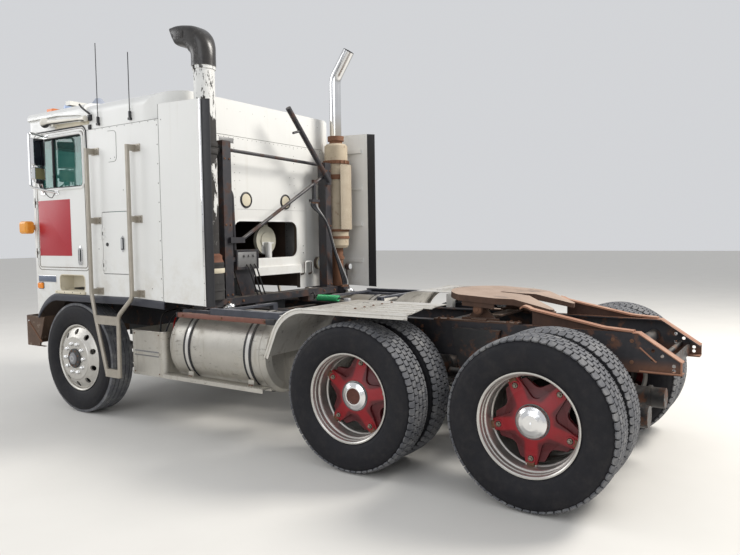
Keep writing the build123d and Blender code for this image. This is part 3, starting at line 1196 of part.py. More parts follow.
def build_nodes():
    """Every node's name and shape."""
    front, side, back, roof = cab_panels()
    left_side = cab_side(side)
    door_cut = side_plate(door_face(0), (CAB_X - WALL - 40, CAB_X + 5))
    roof = roof - door_cut - opposite(door_cut)
    axles = group([drive_axle(DRIVE_Y[0], -1), drive_axle(DRIVE_Y[1], 1)])
    ear = pivot_brackets()
    rails = rail() + ear
    nodes = {
        "frame_rails": pair(rails),
        "crossmembers": crossmembers(),
        "frame_ramps": frame_ramps(),
        "bumper": bumper(),
        "powertrain": powertrain(),
        "radiator": radiator(),
        "driveshafts": driveshafts(),
        "steer_axle": steer_axle(),
        "front_springs": front_springs(),
        "drive_axles": axles,
        "rear_suspension": rear_suspension(axles),
        "fuel_tanks": fuel_tanks(),
        "tank_steps": tank_steps(),
        "battery_boxes": battery_boxes(),
        "deck_rails": deck_rails(),
        "fenders": fenders(),
        "stack_frame": stack_frame(),
        "intake_stack": intake_stack(),
        "exhaust_stack": exhaust_stack(),
        "air_hoses": air_hoses(),
        "fifth_wheel_base": fifth_base(),
        "fifth_wheel_plate": fifth_plate(),
        "cab_front": cab_front(front),
        "cab_sides": pair(left_side),
        "cab_back": cab_back(back),
        "cab_roof": roof,
        "roof_visors": pair(visor()),
        "cab_floor": cab_floor(),
        "windshield": windshield(),
        "grille": grille(),
        "front_lamps": front_lamps(),
        "side_extenders": side_extenders(),
        "ladders": ladders(),
        "seats": seats(),
        "dashboard": dashboard(),
        "steering_wheel": steering_wheel(),
        "roof_fittings": roof_fittings(),
        "tie_rod": tie_rod(),
    }
    twins = {
        "door": doors(),
        "door_glass": glass(WINDOW_Y, WINDOW_Z, 40),
        "mirror": mirror_head(),
        "luggage_door": luggage_door(),
        "knuckle": knuckle(),
        "steer_wheel": steer_wheel(),
        "steer_tyre": tyre(STEER_X, 0),
    }
    for name, y, turn in zip(("front_drive", "rear_drive"), DRIVE_Y, SPOKE_TURN):
        twins[name + "_wheel"] = drive_wheel(y, turn, name == "rear_drive")
        twins[name + "_tyres"] = group([tyre(x, y) for x in DUAL_X])
    for name, shape in twins.items():
        nodes[name + "_left"] = shape
        nodes[name + "_right"] = opposite(shape)
    return nodes


os.makedirs("parts", exist_ok=True)
for node, shape in build_nodes().items():
    export_step(Pos(0, Y_SHIFT, 0) * shape, os.path.join("parts", node + ".step"))
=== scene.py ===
"""Looks of a cab-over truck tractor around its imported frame.

The frame is in metres: X points to the truck's left, Y to its rear and Z up, with the origin on the ground
under the truck's middle. Shapes are worked out in millimetres with Y = 0 on the steer axle, and piece()
brings them into the frame. Finishes read the frame's own coordinates, in metres.
"""

import json
from math import cos, radians, sin

import bmesh
import bpy
import numpy as np
from mathutils import Matrix, Vector


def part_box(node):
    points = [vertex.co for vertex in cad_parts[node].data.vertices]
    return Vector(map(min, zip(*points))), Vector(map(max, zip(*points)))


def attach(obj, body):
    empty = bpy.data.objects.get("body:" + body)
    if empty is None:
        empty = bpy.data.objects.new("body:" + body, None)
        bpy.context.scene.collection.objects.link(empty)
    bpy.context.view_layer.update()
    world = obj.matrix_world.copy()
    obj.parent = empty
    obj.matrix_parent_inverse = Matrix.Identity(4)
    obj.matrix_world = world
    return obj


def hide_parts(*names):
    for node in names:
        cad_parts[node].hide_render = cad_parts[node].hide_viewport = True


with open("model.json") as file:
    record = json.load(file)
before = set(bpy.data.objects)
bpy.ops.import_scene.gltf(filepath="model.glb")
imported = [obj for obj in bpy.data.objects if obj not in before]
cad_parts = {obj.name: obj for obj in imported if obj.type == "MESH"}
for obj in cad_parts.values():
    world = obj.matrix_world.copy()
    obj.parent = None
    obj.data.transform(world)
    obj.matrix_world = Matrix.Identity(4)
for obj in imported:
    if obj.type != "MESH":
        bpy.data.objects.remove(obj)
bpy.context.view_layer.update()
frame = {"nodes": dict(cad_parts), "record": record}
NODES = frame["nodes"]
MM = 0.001
STEER_Y = (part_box("steer_wheel_left")[0].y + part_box("steer_wheel_left")[1].y) / 2
ORIGIN = np.array([0, STEER_Y, 0])
X_AXIS, Y_AXIS, Z_AXIS, AHEAD = (1, 0, 0), (0, 1, 0), (0, 0, 1), (0, -1, 0)

# Drawn sizes in millimetres; AXLES gives each drive axle's name, Y and first spoke's angle in degrees
AXLE_Z, STEER_X, DUAL_X, SPOKES = 540, 1056, (751, 1081), 5
AXLES = (("front", 3228, 9), ("rear", 4549, 49))
CAB_X, CAB_FRONT, CAB_REAR, CAB_MIDDLE = 1204, -690, 1430, 370
DOOR_Y, DOOR_Z, DOOR_R = (-565, 290), (1390, 2730), 60
WINDOW_Y, WINDOW_Z, WINDOW_R = (-470, 240), (2190, 2675), 40
TANK_X, TANK_Z, TANK_R, TANK_Y = 820, 745, 328, (1262, 2420)
STRAP_Y, STRAP_WIDTH, STEP_X, STEP_TOP = (1500, 2200), 60, 1117, 504
STACK_Y, INTAKE_X, EXHAUST_X = 1600, 932, -943
RAIL_FACE, COUPLING_Y = 432, 3888


def spot(x, y, z):
    """A drawn point in the frame's metres."""
    return (x * MM, y * MM + STEER_Y, z * MM)


def at(*coordinates):
    """Every place whose X, Y and Z are among those given, each a number or several."""
    xs, ys, zs = [c if np.iterable(c) else (c,) for c in coordinates]
    return [(x, y, z) for x in xs for y in ys for z in zs]


# Surfaces: each is a pair of points and lists of faces

def unit(vectors):
    """Vectors brought to length one."""
    v = np.asarray(vectors, float)
    return v / np.linalg.norm(v, axis=-1, keepdims=True)


def skin(points, round_u=False, round_v=False):
    """Quads over a grid of points, rows U by columns V, closed round either way where asked."""
    nu, nv = points.shape[:2]
    i = np.arange(nu if round_u else nu - 1)[:, None]
    j = np.arange(nv if round_v else nv - 1)[None, :]
    i_next, j_next = (i + 1) % nu, (j + 1) % nv
    quads = np.stack([i * nv + j, i_next * nv + j, i_next * nv + j_next, i * nv + j_next], -1)
    return points.reshape(-1, 3), [quads.reshape(-1, 4)]


def capped(surface, count):
    """An open skin with a face over its first ring and one over its last, each of count points."""
    pts, faces = surface
    return pts, faces + [np.arange(count)[None, ::-1], np.arange(len(pts) - count, len(pts))[None]]


def basis(axis):
    """Two unit vectors that make a right-handed frame with an axis, and the axis at length one."""
    w = unit(axis)
    u = unit(np.cross(w, Z_AXIS if abs(w[2]) < 0.9 else X_AXIS))
    return u, np.cross(w, u), w


def turned(profile, centre=(0, 0, 0), axis=X_AXIS, steps=64, closed=False):
    """A surface of revolution: profile pairs (along, radius) swept round the axis through the centre."""
    u, v, w = basis(axis)
    s = np.asarray(profile, float)
    t = np.linspace(0, 2 * np.pi, steps, endpoint=False)
    ring = np.cos(t)[:, None] * u + np.sin(t)[:, None] * v
    points = np.asarray(centre) + s[None, :, :1] * w + s[None, :, 1:] * ring[:, None, :]
    return skin(points, True, closed)


def tube(path, radius, sides=12, closed=False):
    """A round section carried along a path: each ring lies square to the path's own direction."""
    p = np.asarray(path, float)
    if closed:
        along = unit(np.roll(p, -1, 0) - np.roll(p, 1, 0))
    else:
        along = unit(np.vstack([p[1:], p[-1:]]) - np.vstack([p[:1], p[:-1]]))
    lead = basis(along[0])[0]
    frames = []
    for w in along:
        lead = unit(lead - w * (lead @ w))
        frames.append((lead, np.cross(w, lead)))
    f = np.array(frames)
    t = np.linspace(0, 2 * np.pi, sides, endpoint=False)[:, None]
    surface = skin(p[:, None] + radius * (np.cos(t) * f[:, :1] + np.sin(t) * f[:, 1:]), closed, True)
    return surface if closed else capped(surface, sides)


def swept(path, section, side, closed=False, scale=1.0):
    """An outline carried along a flat path. Its first number goes out across the path, mitred at the corners,
    and its second along the side that the path's plane faces; scale thins the first along the path."""
    p, s, side = np.asarray(path, float), np.asarray(section, float), np.asarray(side, float)
    step = np.roll(p, -1, 0) - p
    if not closed:
        step[-1] = step[-2]
    step = unit(step)
    before = np.roll(step, 1, 0)
    if not closed:
        before[0] = step[0]
    along = unit(step + before)
    mitre = 1 / np.maximum((along * step).sum(1), 0.5)
    out = np.cross(along, side) * (mitre * np.broadcast_to(scale, len(p)))[:, None]
    surface = skin(p[:, None] + s[None, :, :1] * out[:, None] + s[None, :, 1:] * side, closed, True)
    return surface if closed else capped(surface, len(s))


def curve(points, steps=8):
    """A smooth line through points: each span is a cubic whose end slopes are half its neighbours' chord."""
    p = np.asarray(points, float)
    q = np.vstack([2 * p[0] - p[1], p, 2 * p[-1] - p[-2]])
    t = np.linspace(0, 1, steps, endpoint=False)[:, None, None]
    a, b, c, d = q[:-3], q[1:-2], q[2:-1], q[3:]
    square, cube = 2 * a - 5 * b + 4 * c - d, 3 * b - a - 3 * c + d
    line = 0.5 * (2 * b + (c - a) * t + square * t ** 2 + cube * t ** 3)
    return np.vstack([line.transpose(1, 0, 2).reshape(-1, p.shape[1]), p[-1:]])


def bent(points, radius, steps=6):
    """Straight runs joined by arcs: each inner corner becomes an arc of the radius that touches both runs."""
    p = np.asarray(points, float)
    line = [p[0]]
    for before, corner, after in zip(p, p[1:], p[2:]):
        a, b = before - corner, after - corner
        la, lb = np.linalg.norm(a), np.linalg.norm(b)
        a, b = a / la, b / lb
        half = np.arccos(np.clip(a @ b, -1, 1)) / 2
        r = min(radius, 0.48 * min(la, lb) * np.tan(half))
        centre = corner + unit(a + b) * r / np.sin(half)
        u, v = corner + a * r / np.tan(half) - centre, corner + b * r / np.tan(half) - centre
        turn, s = np.pi - 2 * half, np.linspace(0, 1, steps + 1)[:, None]
        line.extend(centre + (np.sin((1 - s) * turn) * u + np.sin(s * turn) * v) / np.sin(turn))
    return np.array(line + [p[-1]])


def helix(start, end, radius, turns, per_turn=18):
    """A coil about a straight line: a point goes round it evenly as it goes along it."""
    start, end = np.asarray(start, float), np.asarray(end, float)
    u, v, _ = basis(end - start)
    t = np.linspace(0, 1, int(turns * per_turn) + 1)[:, None]
    a = 2 * np.pi * turns * t
    return start + (end - start) * t + radius * (np.cos(a) * u + np.sin(a) * v)


def corners(width, height, radius, steps=5, middle=(0, 0)):
    """A rounded rectangle's outline about its middle: four quarter circles, anticlockwise."""
    t = np.linspace(0, np.pi / 2, steps + 1)
    arc = radius * np.stack([np.cos(t), np.sin(t)], 1)
    turns = [np.array([[cos(a), sin(a)], [-sin(a), cos(a)]]) for a in radians(90) * np.arange(4)]
    mids = np.array([[1, 1], [-1, 1], [-1, -1], [1, -1]]) * (width / 2 - radius, height / 2 - radius)
    return np.concatenate([arc @ turn + mid for turn, mid in zip(turns, mids)]) + middle


def frame_line(u, v, radius, grow=0.0, steps=6):
    """The outline of an opening given by its bounds, moved outwards by grow."""
    middle = ((u[0] + u[1]) / 2, (v[0] + v[1]) / 2)
    return corners(u[1] - u[0] + 2 * grow, v[1] - v[0] + 2 * grow, radius + grow, steps, middle)


def half_round(points, rounds=2):
    """An outline with its corners cut: each round puts two points on every span, a quarter from its ends."""
    p = np.asarray(points, float)
    for _ in range(rounds):
        a, b = p[:-1], p[1:]
        cut = np.stack([a * 0.75 + b * 0.25, a * 0.25 + b * 0.75], 1).reshape(-1, 2)
        p = np.vstack([p[:1], cut, p[-1:]])
    return p


def inset(outline, depth):
    """An outline moved inwards: each corner goes along the mean of its two edges' normals."""
    o = np.asarray(outline, float)
    e = np.roll(o, -1, 0) - o
    n = np.stack([-e[:, 1], e[:, 0]], 1) / np.maximum(np.linalg.norm(e, axis=1), 1e-9)[:, None]
    m = n + np.roll(n, 1, 0)
    m /= np.maximum((m ** 2).sum(1) / 2, 0.3)[:, None]
    return o + m * depth


def wall(axis, level, way=1):
    """A map from (u, v, w) to space for what stands on a wall across an axis; w goes out from its level."""
    def place(p):
        u, v, out = p[..., 0], p[..., 1], level + way * p[..., 2]
        return np.stack({"x": (out, u, v), "y": (u, out, v)}[axis], -1)
    return place


def stack(rings):
    """A skin through outlines, each given with its height."""
    return skin(np.stack([np.column_stack([ring, np.full(len(ring), w)]) for ring, w in rings]), False, True)


def slab(outline, depth, bevel, place):
    """A plate: its outline stands at the back and, past a bevel, inset at the front, where place puts it."""
    o = np.asarray(outline, float)
    cut = bevel * 0.3
    rings = [(o, 0), (o, depth - bevel), (inset(o, cut), depth - cut), (inset(o, bevel), depth)]
    pts, faces = capped(stack(rings), len(o))
    return place(pts), faces


def block(x, y, z, soft=2):
    """A block between bounds with its edges cut: an eight-cornered plan that is drawn in at both its ends."""
    plan = corners(x[1] - x[0], y[1] - y[0], soft, 1, ((x[0] + x[1]) / 2, (y[0] + y[1]) / 2))
    end = inset(plan, soft * 0.7)
    return capped(stack([(end, z[0]), (plan, z[0] + soft), (plan, z[1] - soft), (end, z[1])]), len(plan))


def copies(shape, places, turns=None):
    """The same small shape at many places, each turned by its own matrix where given, as one surface."""
    pts, faces = shape
    places = np.asarray(places, float)
    k = len(places)
    if turns is None:
        body = np.broadcast_to(pts, (k, *pts.shape))
    else:
        body = np.einsum("kij,nj->kni", np.asarray(turns), pts)
    shift = (np.arange(k) * len(pts))[:, None, None]
    return (body + places[:, None]).reshape(-1, 3), [(f[None] + shift).reshape(-1, f.shape[1]) for f in faces]


def rivets(places, axis, radius=5.0, height=2.2):
    """Domed rivet heads at places: a quarter round turned about the axis."""
    dome = [(0, radius), (height * 0.6, radius * 0.8), (height, 0)]
    return copies(turned(dome, axis=axis, steps=8), places)


def bolts(places, axis, radius=10.0, height=8.0):
    """Hexagon heads on washers at places: a stepped profile turned in six."""
    head = [(2, radius), (height * 0.8, radius), (height, radius * 0.82), (height, 0)]
    washer = [(0, radius * 1.25), (2, radius * 1.25), (2.2, radius * 0.9)]
    return copies(joined(turned(head, axis=axis, steps=6), turned(washer, axis=axis, steps=12)), places)


def across(shape):
    """A surface mirrored to the truck's other side, with its faces turned back to point outwards."""
    pts, faces = shape
    return pts * (-1, 1, 1), [f[:, ::-1] for f in faces]


def joined(*shapes):
    """Several surfaces as one."""
    pts, faces, start = [], [], 0
    for p, fs in shapes:
        pts.append(p)
        faces += [f + start for f in fs]
        start += len(p)
    return np.vstack(pts), faces


def gathered(shapes):
    """One surface or a list of them as a list, in which each inner list has become one surface."""
    shapes = shapes if isinstance(shapes, list) else [shapes]
    return [joined(*s) if isinstance(s, list) else s for s in shapes]


def add(name, data):
    """An object of the data in the scene."""
    obj = bpy.data.objects.new(name, data)
    bpy.context.scene.collection.objects.link(obj)
    return obj


def piece(name, body, finishes, shapes, crease=40):
    """One object: each surface goes with one of the finishes, doubles are merged and faces point outwards."""
    finishes = finishes if isinstance(finishes, list) else [finishes]
    shapes = gathered(shapes)
    pts = np.vstack([s[0] for s in shapes]) * MM + ORIGIN
    totals, loops, kinds, start = [], [], [], 0
    for k, (p, faces) in enumerate(shapes):
        for f in faces:
            loops.append((f + start).ravel())
            totals.append(np.full(len(f), f.shape[1]))
            kinds.append(np.full(len(f), min(k, len(finishes) - 1)))
        start += len(p)
    loops, totals = np.concatenate(loops), np.concatenate(totals)
    mesh = bpy.data.meshes.new(name)
    mesh.vertices.add(len(pts))
    mesh.vertices.foreach_set("co", pts.astype(np.float32).ravel())
    mesh.loops.add(len(loops))
    mesh.loops.foreach_set("vertex_index", loops.astype(np.int32))
    mesh.polygons.add(len(totals))
    mesh.polygons.foreach_set("loop_start", np.concatenate([[0], np.cumsum(totals)[:-1]]).astype(np.int32))
    mesh.polygons.foreach_set("material_index", np.concatenate(kinds).astype(np.int32))
    mesh.update(calc_edges=True)
    mesh.validate()
    work = bmesh.new()
    work.from_mesh(mesh)
    bmesh.ops.remove_doubles(work, verts=work.verts, dist=1e-5)
    bmesh.ops.recalc_face_normals(work, faces=work.faces)
    work.to_mesh(mesh)
    work.free()
    mesh.polygons.foreach_set("use_smooth", np.ones(len(mesh.polygons), bool))
    mesh.set_sharp_from_angle(angle=radians(crease))
    for finish in finishes:
        mesh.materials.append(finish)
    obj = add(name, mesh)
    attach(obj, body)
    return obj


def both(name, body, finishes, shapes):
    """Left shapes and their mirrors: two pieces where the body's name has a side in it, or else one piece."""
    shapes = gathered(shapes)
    if "{}" in body:
        piece(name + "_left", body.format("left"), finishes, shapes)
        piece(name + "_right", body.format("right"), finishes, [across(s) for s in shapes])
    else:
        piece(name, body, finishes, [joined(s, across(s)) for s in shapes])


# Finishes

class Finish:
    """A material put together from small named steps on Object coordinates."""

    def __init__(self, name, metallic=0.0, roughness=0.5, **fixed):
        self.mat = bpy.data.materials.new(name)
        self.mat.use_nodes = True
        self.tree = self.mat.node_tree
        self.shader = self.tree.nodes["Principled BSDF"]
        for key, value in {"Metallic": metallic, "Roughness": roughness, **fixed}.items():
            self.shader.inputs[key.replace("_", " ")].default_value = value
        coords = self.tree.nodes.new("ShaderNodeTexCoord").outputs
        self.point, self.normal = coords["Object"], coords["Normal"]
        self.base = self.relief = None

    def put(self, value, socket):
        """Links another socket's value to a socket, or sets it; a colour gets its fourth number."""
        if isinstance(value, bpy.types.NodeSocket):
            self.tree.links.new(value, socket)
        else:
            socket.default_value = (*value, 1) if socket.type == "RGBA" else value

    def node(self, kind, settings=None, **inputs):
        """A node with its settings and its inputs, named or, as in i0, by index."""
        made = self.tree.nodes.new("ShaderNode" + kind)
        for key, value in (settings or {}).items():
            setattr(made, key, value)
        for key, value in inputs.items():
            self.put(value, made.inputs[int(key[1:]) if key[1:].isdigit() else key])
        return made

    def place(self, stretch=(1, 1, 1), centre=(0, 0, 0), turn=(0, 0, 0)):
        """Object coordinates about a centre, turned and stretched."""
        shift = self.node("VectorMath", {"operation": "SUBTRACT"}, i0=self.point, i1=centre)
        return self.node("Mapping", Vector=shift.outputs[0], Rotation=turn, Scale=stretch).outputs[0]

    def noise(self, scale, detail=4.0, roughness=0.55, **where):
        """Cloudy noise from 0 to 1, its grain a share of a metre."""
        point = self.place(**where)
        return self.node("TexNoise", Vector=point, Scale=scale, Detail=detail, Roughness=roughness).outputs[0]

    def patches(self, low, high, *grain, **where):
        """The share of a surface where noise rises from low to high."""
        return self.step(self.noise(*grain, **where), low, high)

    def cloud(self, a, b, *grain, **where):
        """A colour that noise moves between two."""
        return self.mix(self.noise(*grain, **where), a, b)

    def specks(self, scale, size, edge):
        """Round specks of a size about scattered points, soft to their edge."""
        points = self.node("TexVoronoi", Vector=self.place(), Scale=scale)
        return self.step(points.outputs["Distance"], edge, size)

    def step(self, value, low, high):
        """A smooth rise from 0 at low to 1 at high."""
        made = self.node("MapRange", {"interpolation_type": "SMOOTHSTEP"}, i0=value, i1=low, i2=high)
        return made.outputs[0]

    def math(self, operation, a, b=0.0):
        """One sum, clamped to 0 and 1."""
        return self.node("Math", {"operation": operation, "use_clamp": True}, i0=a, i1=b).outputs[0]

    def free(self, operation, a, b=0.0):
        """One sum, not clamped."""
        return self.node("Math", {"operation": operation}, i0=a, i1=b).outputs[0]

    def times(self, first, *others):
        """The product of several shares."""
        for other in others:
            first = self.math("MULTIPLY", first, other)
        return first

    def most(self, first, *others):
        """The largest of several shares."""
        for other in others:
            first = self.math("MAXIMUM", first, other)
        return first

    def without(self, share):
        """What a share leaves of the whole."""
        return self.math("SUBTRACT", 1.0, share)

    def under(self, value, limit):
        """1 below a limit."""
        return self.math("LESS_THAN", value, limit)

    def over(self, value, limit):
        """1 above a limit."""
        return self.math("GREATER_THAN", value, limit)

    def between(self, value, low, high):
        """1 between two limits."""
        return self.times(self.over(value, low), self.under(value, high))

    def split(self, vector):
        """A vector's three numbers."""
        return self.node("SeparateXYZ", Vector=vector).outputs

    def xyz(self, mirrored=False):
        """The surface point's three coordinates, with both sides of the truck alike where mirrored."""
        x, y, z = self.split(self.point)
        return (self.free("ABSOLUTE", x) if mirrored else x), y, z

    def upward(self, low=0.3, high=0.9):
        """How far a surface faces up, for dust that settles."""
        return self.step(self.split(self.normal)[2], low, high)

    def inward(self):
        """1 on surfaces that face the cab's upright middle line, such as its inner walls."""
        spoke = self.place((1, 1, 0), spot(0, CAB_MIDDLE, 0))
        dot = self.node("VectorMath", {"operation": "DOT_PRODUCT"}, i0=self.normal, i1=spoke)
        return self.step(dot.outputs["Value"], -0.02, -0.05)

    def radius(self, axis, centre):
        """Distance in metres from a line along an axis through a drawn point."""
        flat = self.place([0 if a == axis else 1 for a in "xyz"], spot(*centre))
        return self.node("VectorMath", {"operation": "LENGTH"}, i0=flat).outputs["Value"]

    def within(self, low, high, mirrored=True):
        """1 inside a box between two drawn corners; None leaves a side open, mirrored takes both sides."""
        shares = []
        for value, a, b, shift in zip(self.xyz(mirrored), low, high, ORIGIN):
            if a is not None:
                shares.append(self.over(value, a * MM + shift))
            if b is not None:
                shares.append(self.under(value, b * MM + shift))
        return self.times(*shares)

    def mix(self, share, a, b):
        """A colour between two."""
        return self.node("Mix", {"data_type": "RGBA"}, i0=share, i6=a, i7=b).outputs[2]

    def level(self, share, a, b):
        """A number between two."""
        return self.node("Mix", {"data_type": "FLOAT"}, i0=share, i2=a, i3=b).outputs[0]

    def coat(self, colour, *shares):
        """Lays a colour over the base, as much as the product of the shares."""
        self.base = self.mix(self.times(*shares), self.base, colour)

    def bump(self, height, depth):
        """Relief, as deep in metres as given, on top of the relief so far."""
        made = self.node("Bump", Height=height, Distance=depth)
        if self.relief:
            self.put(self.relief, made.inputs["Normal"])
        self.relief = made.outputs[0]

    def close(self, roughness=None, metallic=None):
        """Brings what was built to the shader and returns the material."""
        built = {"Base Color": self.base, "Roughness": roughness, "Metallic": metallic, "Normal": self.relief}
        for key, value in built.items():
            if value is not None:
                self.put(value, self.shader.inputs[key])
        return self.mat


DUST = (0.50, 0.45, 0.36)
CREAM = (0.66, 0.60, 0.46)
RUST_DARK, RUST_LIGHT = (0.10, 0.040, 0.022), (0.26, 0.12, 0.06)


def cab_white(name, lined):
    """Aged white paint: faint runs, chips and a dusty lower edge; brown lining inside where lined."""
    f = Finish(name, roughness=0.38)
    f.base = f.cloud((0.715, 0.715, 0.695), (0.79, 0.79, 0.765), 1.3, 3)
    runs = f.patches(0.54, 0.78, 9, 5, 0.6, stretch=(1, 1, 0.05))
    f.coat((0.50, 0.47, 0.40), runs, 0.26)
    low = f.times(f.step(f.xyz()[2], 1.75, 1.15), f.patches(0.4, 0.75, 6, 6, 0.65))
    f.coat(DUST, low, 0.40)
    f.coat((0.16, 0.11, 0.07), f.patches(0.72, 0.76, 60, 3, 0.7), f.patches(0.45, 0.6, 3.1, 2), 0.8)
    if lined:
        pocket = f.within((1050, -210, 1180), (1202, 215, 1360))
        f.coat(CREAM, pocket, 0.8)
        f.coat(f.cloud((0.060, 0.042, 0.032), (0.115, 0.085, 0.062), 30, 5), f.inward(), f.without(pocket))
    f.bump(f.noise(2.2, 1), 0.0035)
    f.bump(f.noise(220, 1), 0.00008)
    rough = f.level(f.most(runs, low), 0.30, 0.62)
    if not lined:
        return f.close(rough)
    out = CAB_X + 0.8
    handle = f.within((out, 120, 1436), (None, 196, 1648))
    latch = f.within((out, 768, 1560), (None, 832, 1728))
    # Painted shade: the pockets of the door handle and of the latch are near-black; the lock shows as a dark
    # keyhole.
    handle_pocket_shade = f.within((CAB_X + 2.5, 137, 1477), (CAB_X + 6, 179, 1602))
    latch_pocket_shade = f.within((out, 781, 1592), (CAB_X + 7.6, 819, 1700))
    lock = f.within((out, 555, 1620), (None, 595, 1660))
    metal, dark = f.most(handle, latch), f.most(handle_pocket_shade, latch_pocket_shade, lock)
    f.coat((0.66, 0.66, 0.66), metal)
    f.coat((0.02, 0.02, 0.022), dark)
    metal = f.times(metal, f.without(dark))
    return f.close(f.level(metal, rough, 0.14), metal)


def worn_black(name="worn_black", rust_share=0.75, blue=0.0):
    """Chassis black gone to rust in patches, with road dust on what faces up."""
    f = Finish(name, roughness=0.6)
    rust = f.patches(0.50, 0.62, 7, 8, 0.68)
    f.base = f.cloud((0.010, 0.010, 0.012 + blue), (0.036, 0.034, 0.034 + blue), 26, 5)
    f.coat(f.cloud((0.085, 0.034, 0.018), (0.20, 0.085, 0.042), 45, 6, 0.7), rust, rust_share)
    f.coat((0.25, 0.22, 0.18), f.upward(0.2, 0.95), f.patches(0.35, 0.7, 11, 6, 0.6), 0.5)
    f.bump(f.noise(90, 6, 0.7), 0.0008)
    return f.close(f.level(rust, 0.42, 0.85))


def rail_paint():
    """Chassis black, rustier behind the fifth wheel: tan-red where it faces up, brown at its lower edge."""
    f = Finish("rail_paint", roughness=0.65)
    f.base = f.cloud((0.010, 0.010, 0.014), (0.036, 0.034, 0.038), 26, 5)
    rust = f.patches(0.52, 0.64, 7, 8, 0.68)
    _, y, z = f.xyz()
    tail = f.step(y, 4.65 + STEER_Y, 5.15 + STEER_Y)
    low = f.times(tail, f.step(z, 0.88, 0.80))
    brown = f.cloud((0.075, 0.030, 0.016), (0.20, 0.085, 0.042), 45, 6, 0.7)
    f.coat(brown, f.most(f.times(rust, 0.7), f.times(low, 0.85)))
    behind = f.step(y, 4.2 + STEER_Y, 4.4 + STEER_Y)
    f.coat(f.cloud((0.22, 0.10, 0.06), (0.42, 0.22, 0.14), 9, 7, 0.65), behind, f.upward(0.3, 0.6))
    f.bump(f.noise(90, 6, 0.7), 0.0008)
    return f.close()


def coupling_rust():
    """Tan-brown rust on top, dark greasy rust on the sides, with dark patches and bright scrapes."""
    f = Finish("coupling_rust", roughness=0.8)
    f.base = f.cloud((0.035, 0.022, 0.016), (0.13, 0.065, 0.04), 14, 6, 0.7)
    f.coat(f.cloud((0.24, 0.165, 0.125), (0.45, 0.345, 0.275), 5, 7, 0.65), f.upward(0.45, 0.85))
    scrapes = f.patches(0.58, 0.72, 24, 4, 0.6, stretch=(4, 0.4, 1))
    f.coat((0.60, 0.50, 0.42), scrapes, f.upward(0.5, 0.9), 0.6)
    grease = f.patches(0.58, 0.70, 3.5, 5, 0.6)
    f.coat((0.045, 0.032, 0.024), grease, 0.55)
    f.bump(f.noise(70, 8, 0.75), 0.0012)
    return f.close(f.level(grease, 0.85, 0.5))


def ramp_rust():
    """Reddish-tan rust on the ramps' wide flanges, dark rust on the upright plates below them."""
    f = Finish("ramp_rust", roughness=0.8)
    f.base = f.cloud((0.24, 0.105, 0.062), (0.43, 0.22, 0.14), 9, 7, 0.65)
    f.coat((0.52, 0.36, 0.26), f.upward(0.5, 0.95), f.patches(0.35, 0.7, 4, 4), 0.6)
    upright = f.within((397.5, None, None), (410.5, None, None))
    f.coat(f.cloud((0.020, 0.014, 0.012), (0.11, 0.05, 0.03), 16, 6, 0.7), upright, f.without(f.upward()))
    f.bump(f.noise(70, 8, 0.75), 0.0012)
    return f.close()


def bumper_rust():
    """Dark brown rust with lighter bare patches."""
    f = Finish("bumper_rust", roughness=0.75)
    f.base = f.cloud((0.045, 0.030, 0.022), (0.15, 0.085, 0.052), 6, 8, 0.7)
    f.coat((0.27, 0.22, 0.17), f.patches(0.56, 0.66, 18, 7, 0.7), 0.7)
    f.bump(f.noise(60, 8, 0.75), 0.0012)
    return f.close(f.level(f.noise(20), 0.6, 0.9))


def dull_aluminium(name, pale=0.0, strap=False):
    """Bare sheet aluminium, milky with age: stains, pits, runs; straps above the steps are wiped bright."""
    f = Finish(name, metallic=0.65, roughness=0.42)
    dark, light = [[c + pale for c in colour] for colour in ((0.39, 0.37, 0.33), (0.58, 0.56, 0.51))]
    f.base = f.cloud(dark, light, 4, 6, 0.65)
    runs = f.patches(0.52, 0.74, 16, 5, 0.6, stretch=(1, 1, 0.12))
    f.coat((0.34, 0.30, 0.24), runs, 0.38)
    f.coat((0.38, 0.31, 0.22), f.patches(0.52, 0.72, 2.6, 6, 0.65), 0.30)
    scuffs = f.patches(0.56, 0.63, 26, 7, 0.75, stretch=(1, 0.45, 1.6), turn=(0.7, 0, 0))
    f.coat((0.12, 0.105, 0.085), scuffs, f.patches(0.48, 0.62, 3.2, 3), 0.6)
    f.coat((0.45, 0.40, 0.32), f.upward(0.3, 0.95), f.patches(0.35, 0.7, 6, 6), 0.45)
    f.coat((0.08, 0.07, 0.06), f.specks(95, 0.06, 0.16), f.patches(0.5, 0.62, 5, 3), 0.85)
    f.bump(f.noise(140, 3), 0.0002)
    f.bump(f.noise(5, 2), 0.002)
    rough = f.level(runs, 0.38, 0.60)
    if strap:
        above_steps = 0.565
        bright = f.over(f.xyz()[2], above_steps)
        f.coat((0.62, 0.605, 0.575), bright)
        rough = f.level(bright, rough, 0.28)
    return f.close(rough)


def plain(name, colour, roughness, metallic=0.0, grain=60, depth=0.0004, vary=0.25, dust=0.0, **fixed):
    """A finish of one colour, mottled by its own noise, with grain and a share of settled dust."""
    f = Finish(name, metallic=metallic, roughness=roughness, **fixed)
    dark = [c * (1 - vary) for c in colour]
    light = [min(1.0, c * (1 + vary)) for c in colour]
    f.base = f.cloud(dark, light, grain * 0.3, 6, 0.65)
    if dust:
        f.coat(DUST, f.upward(0.1, 0.9), f.patches(0.3, 0.7, 9, 6, 0.6), dust)
    f.bump(f.noise(grain * 3, 4), depth)
    return f.close(f.level(f.noise(grain * 0.5, 4), roughness * 0.85, min(1.0, roughness * 1.2)))


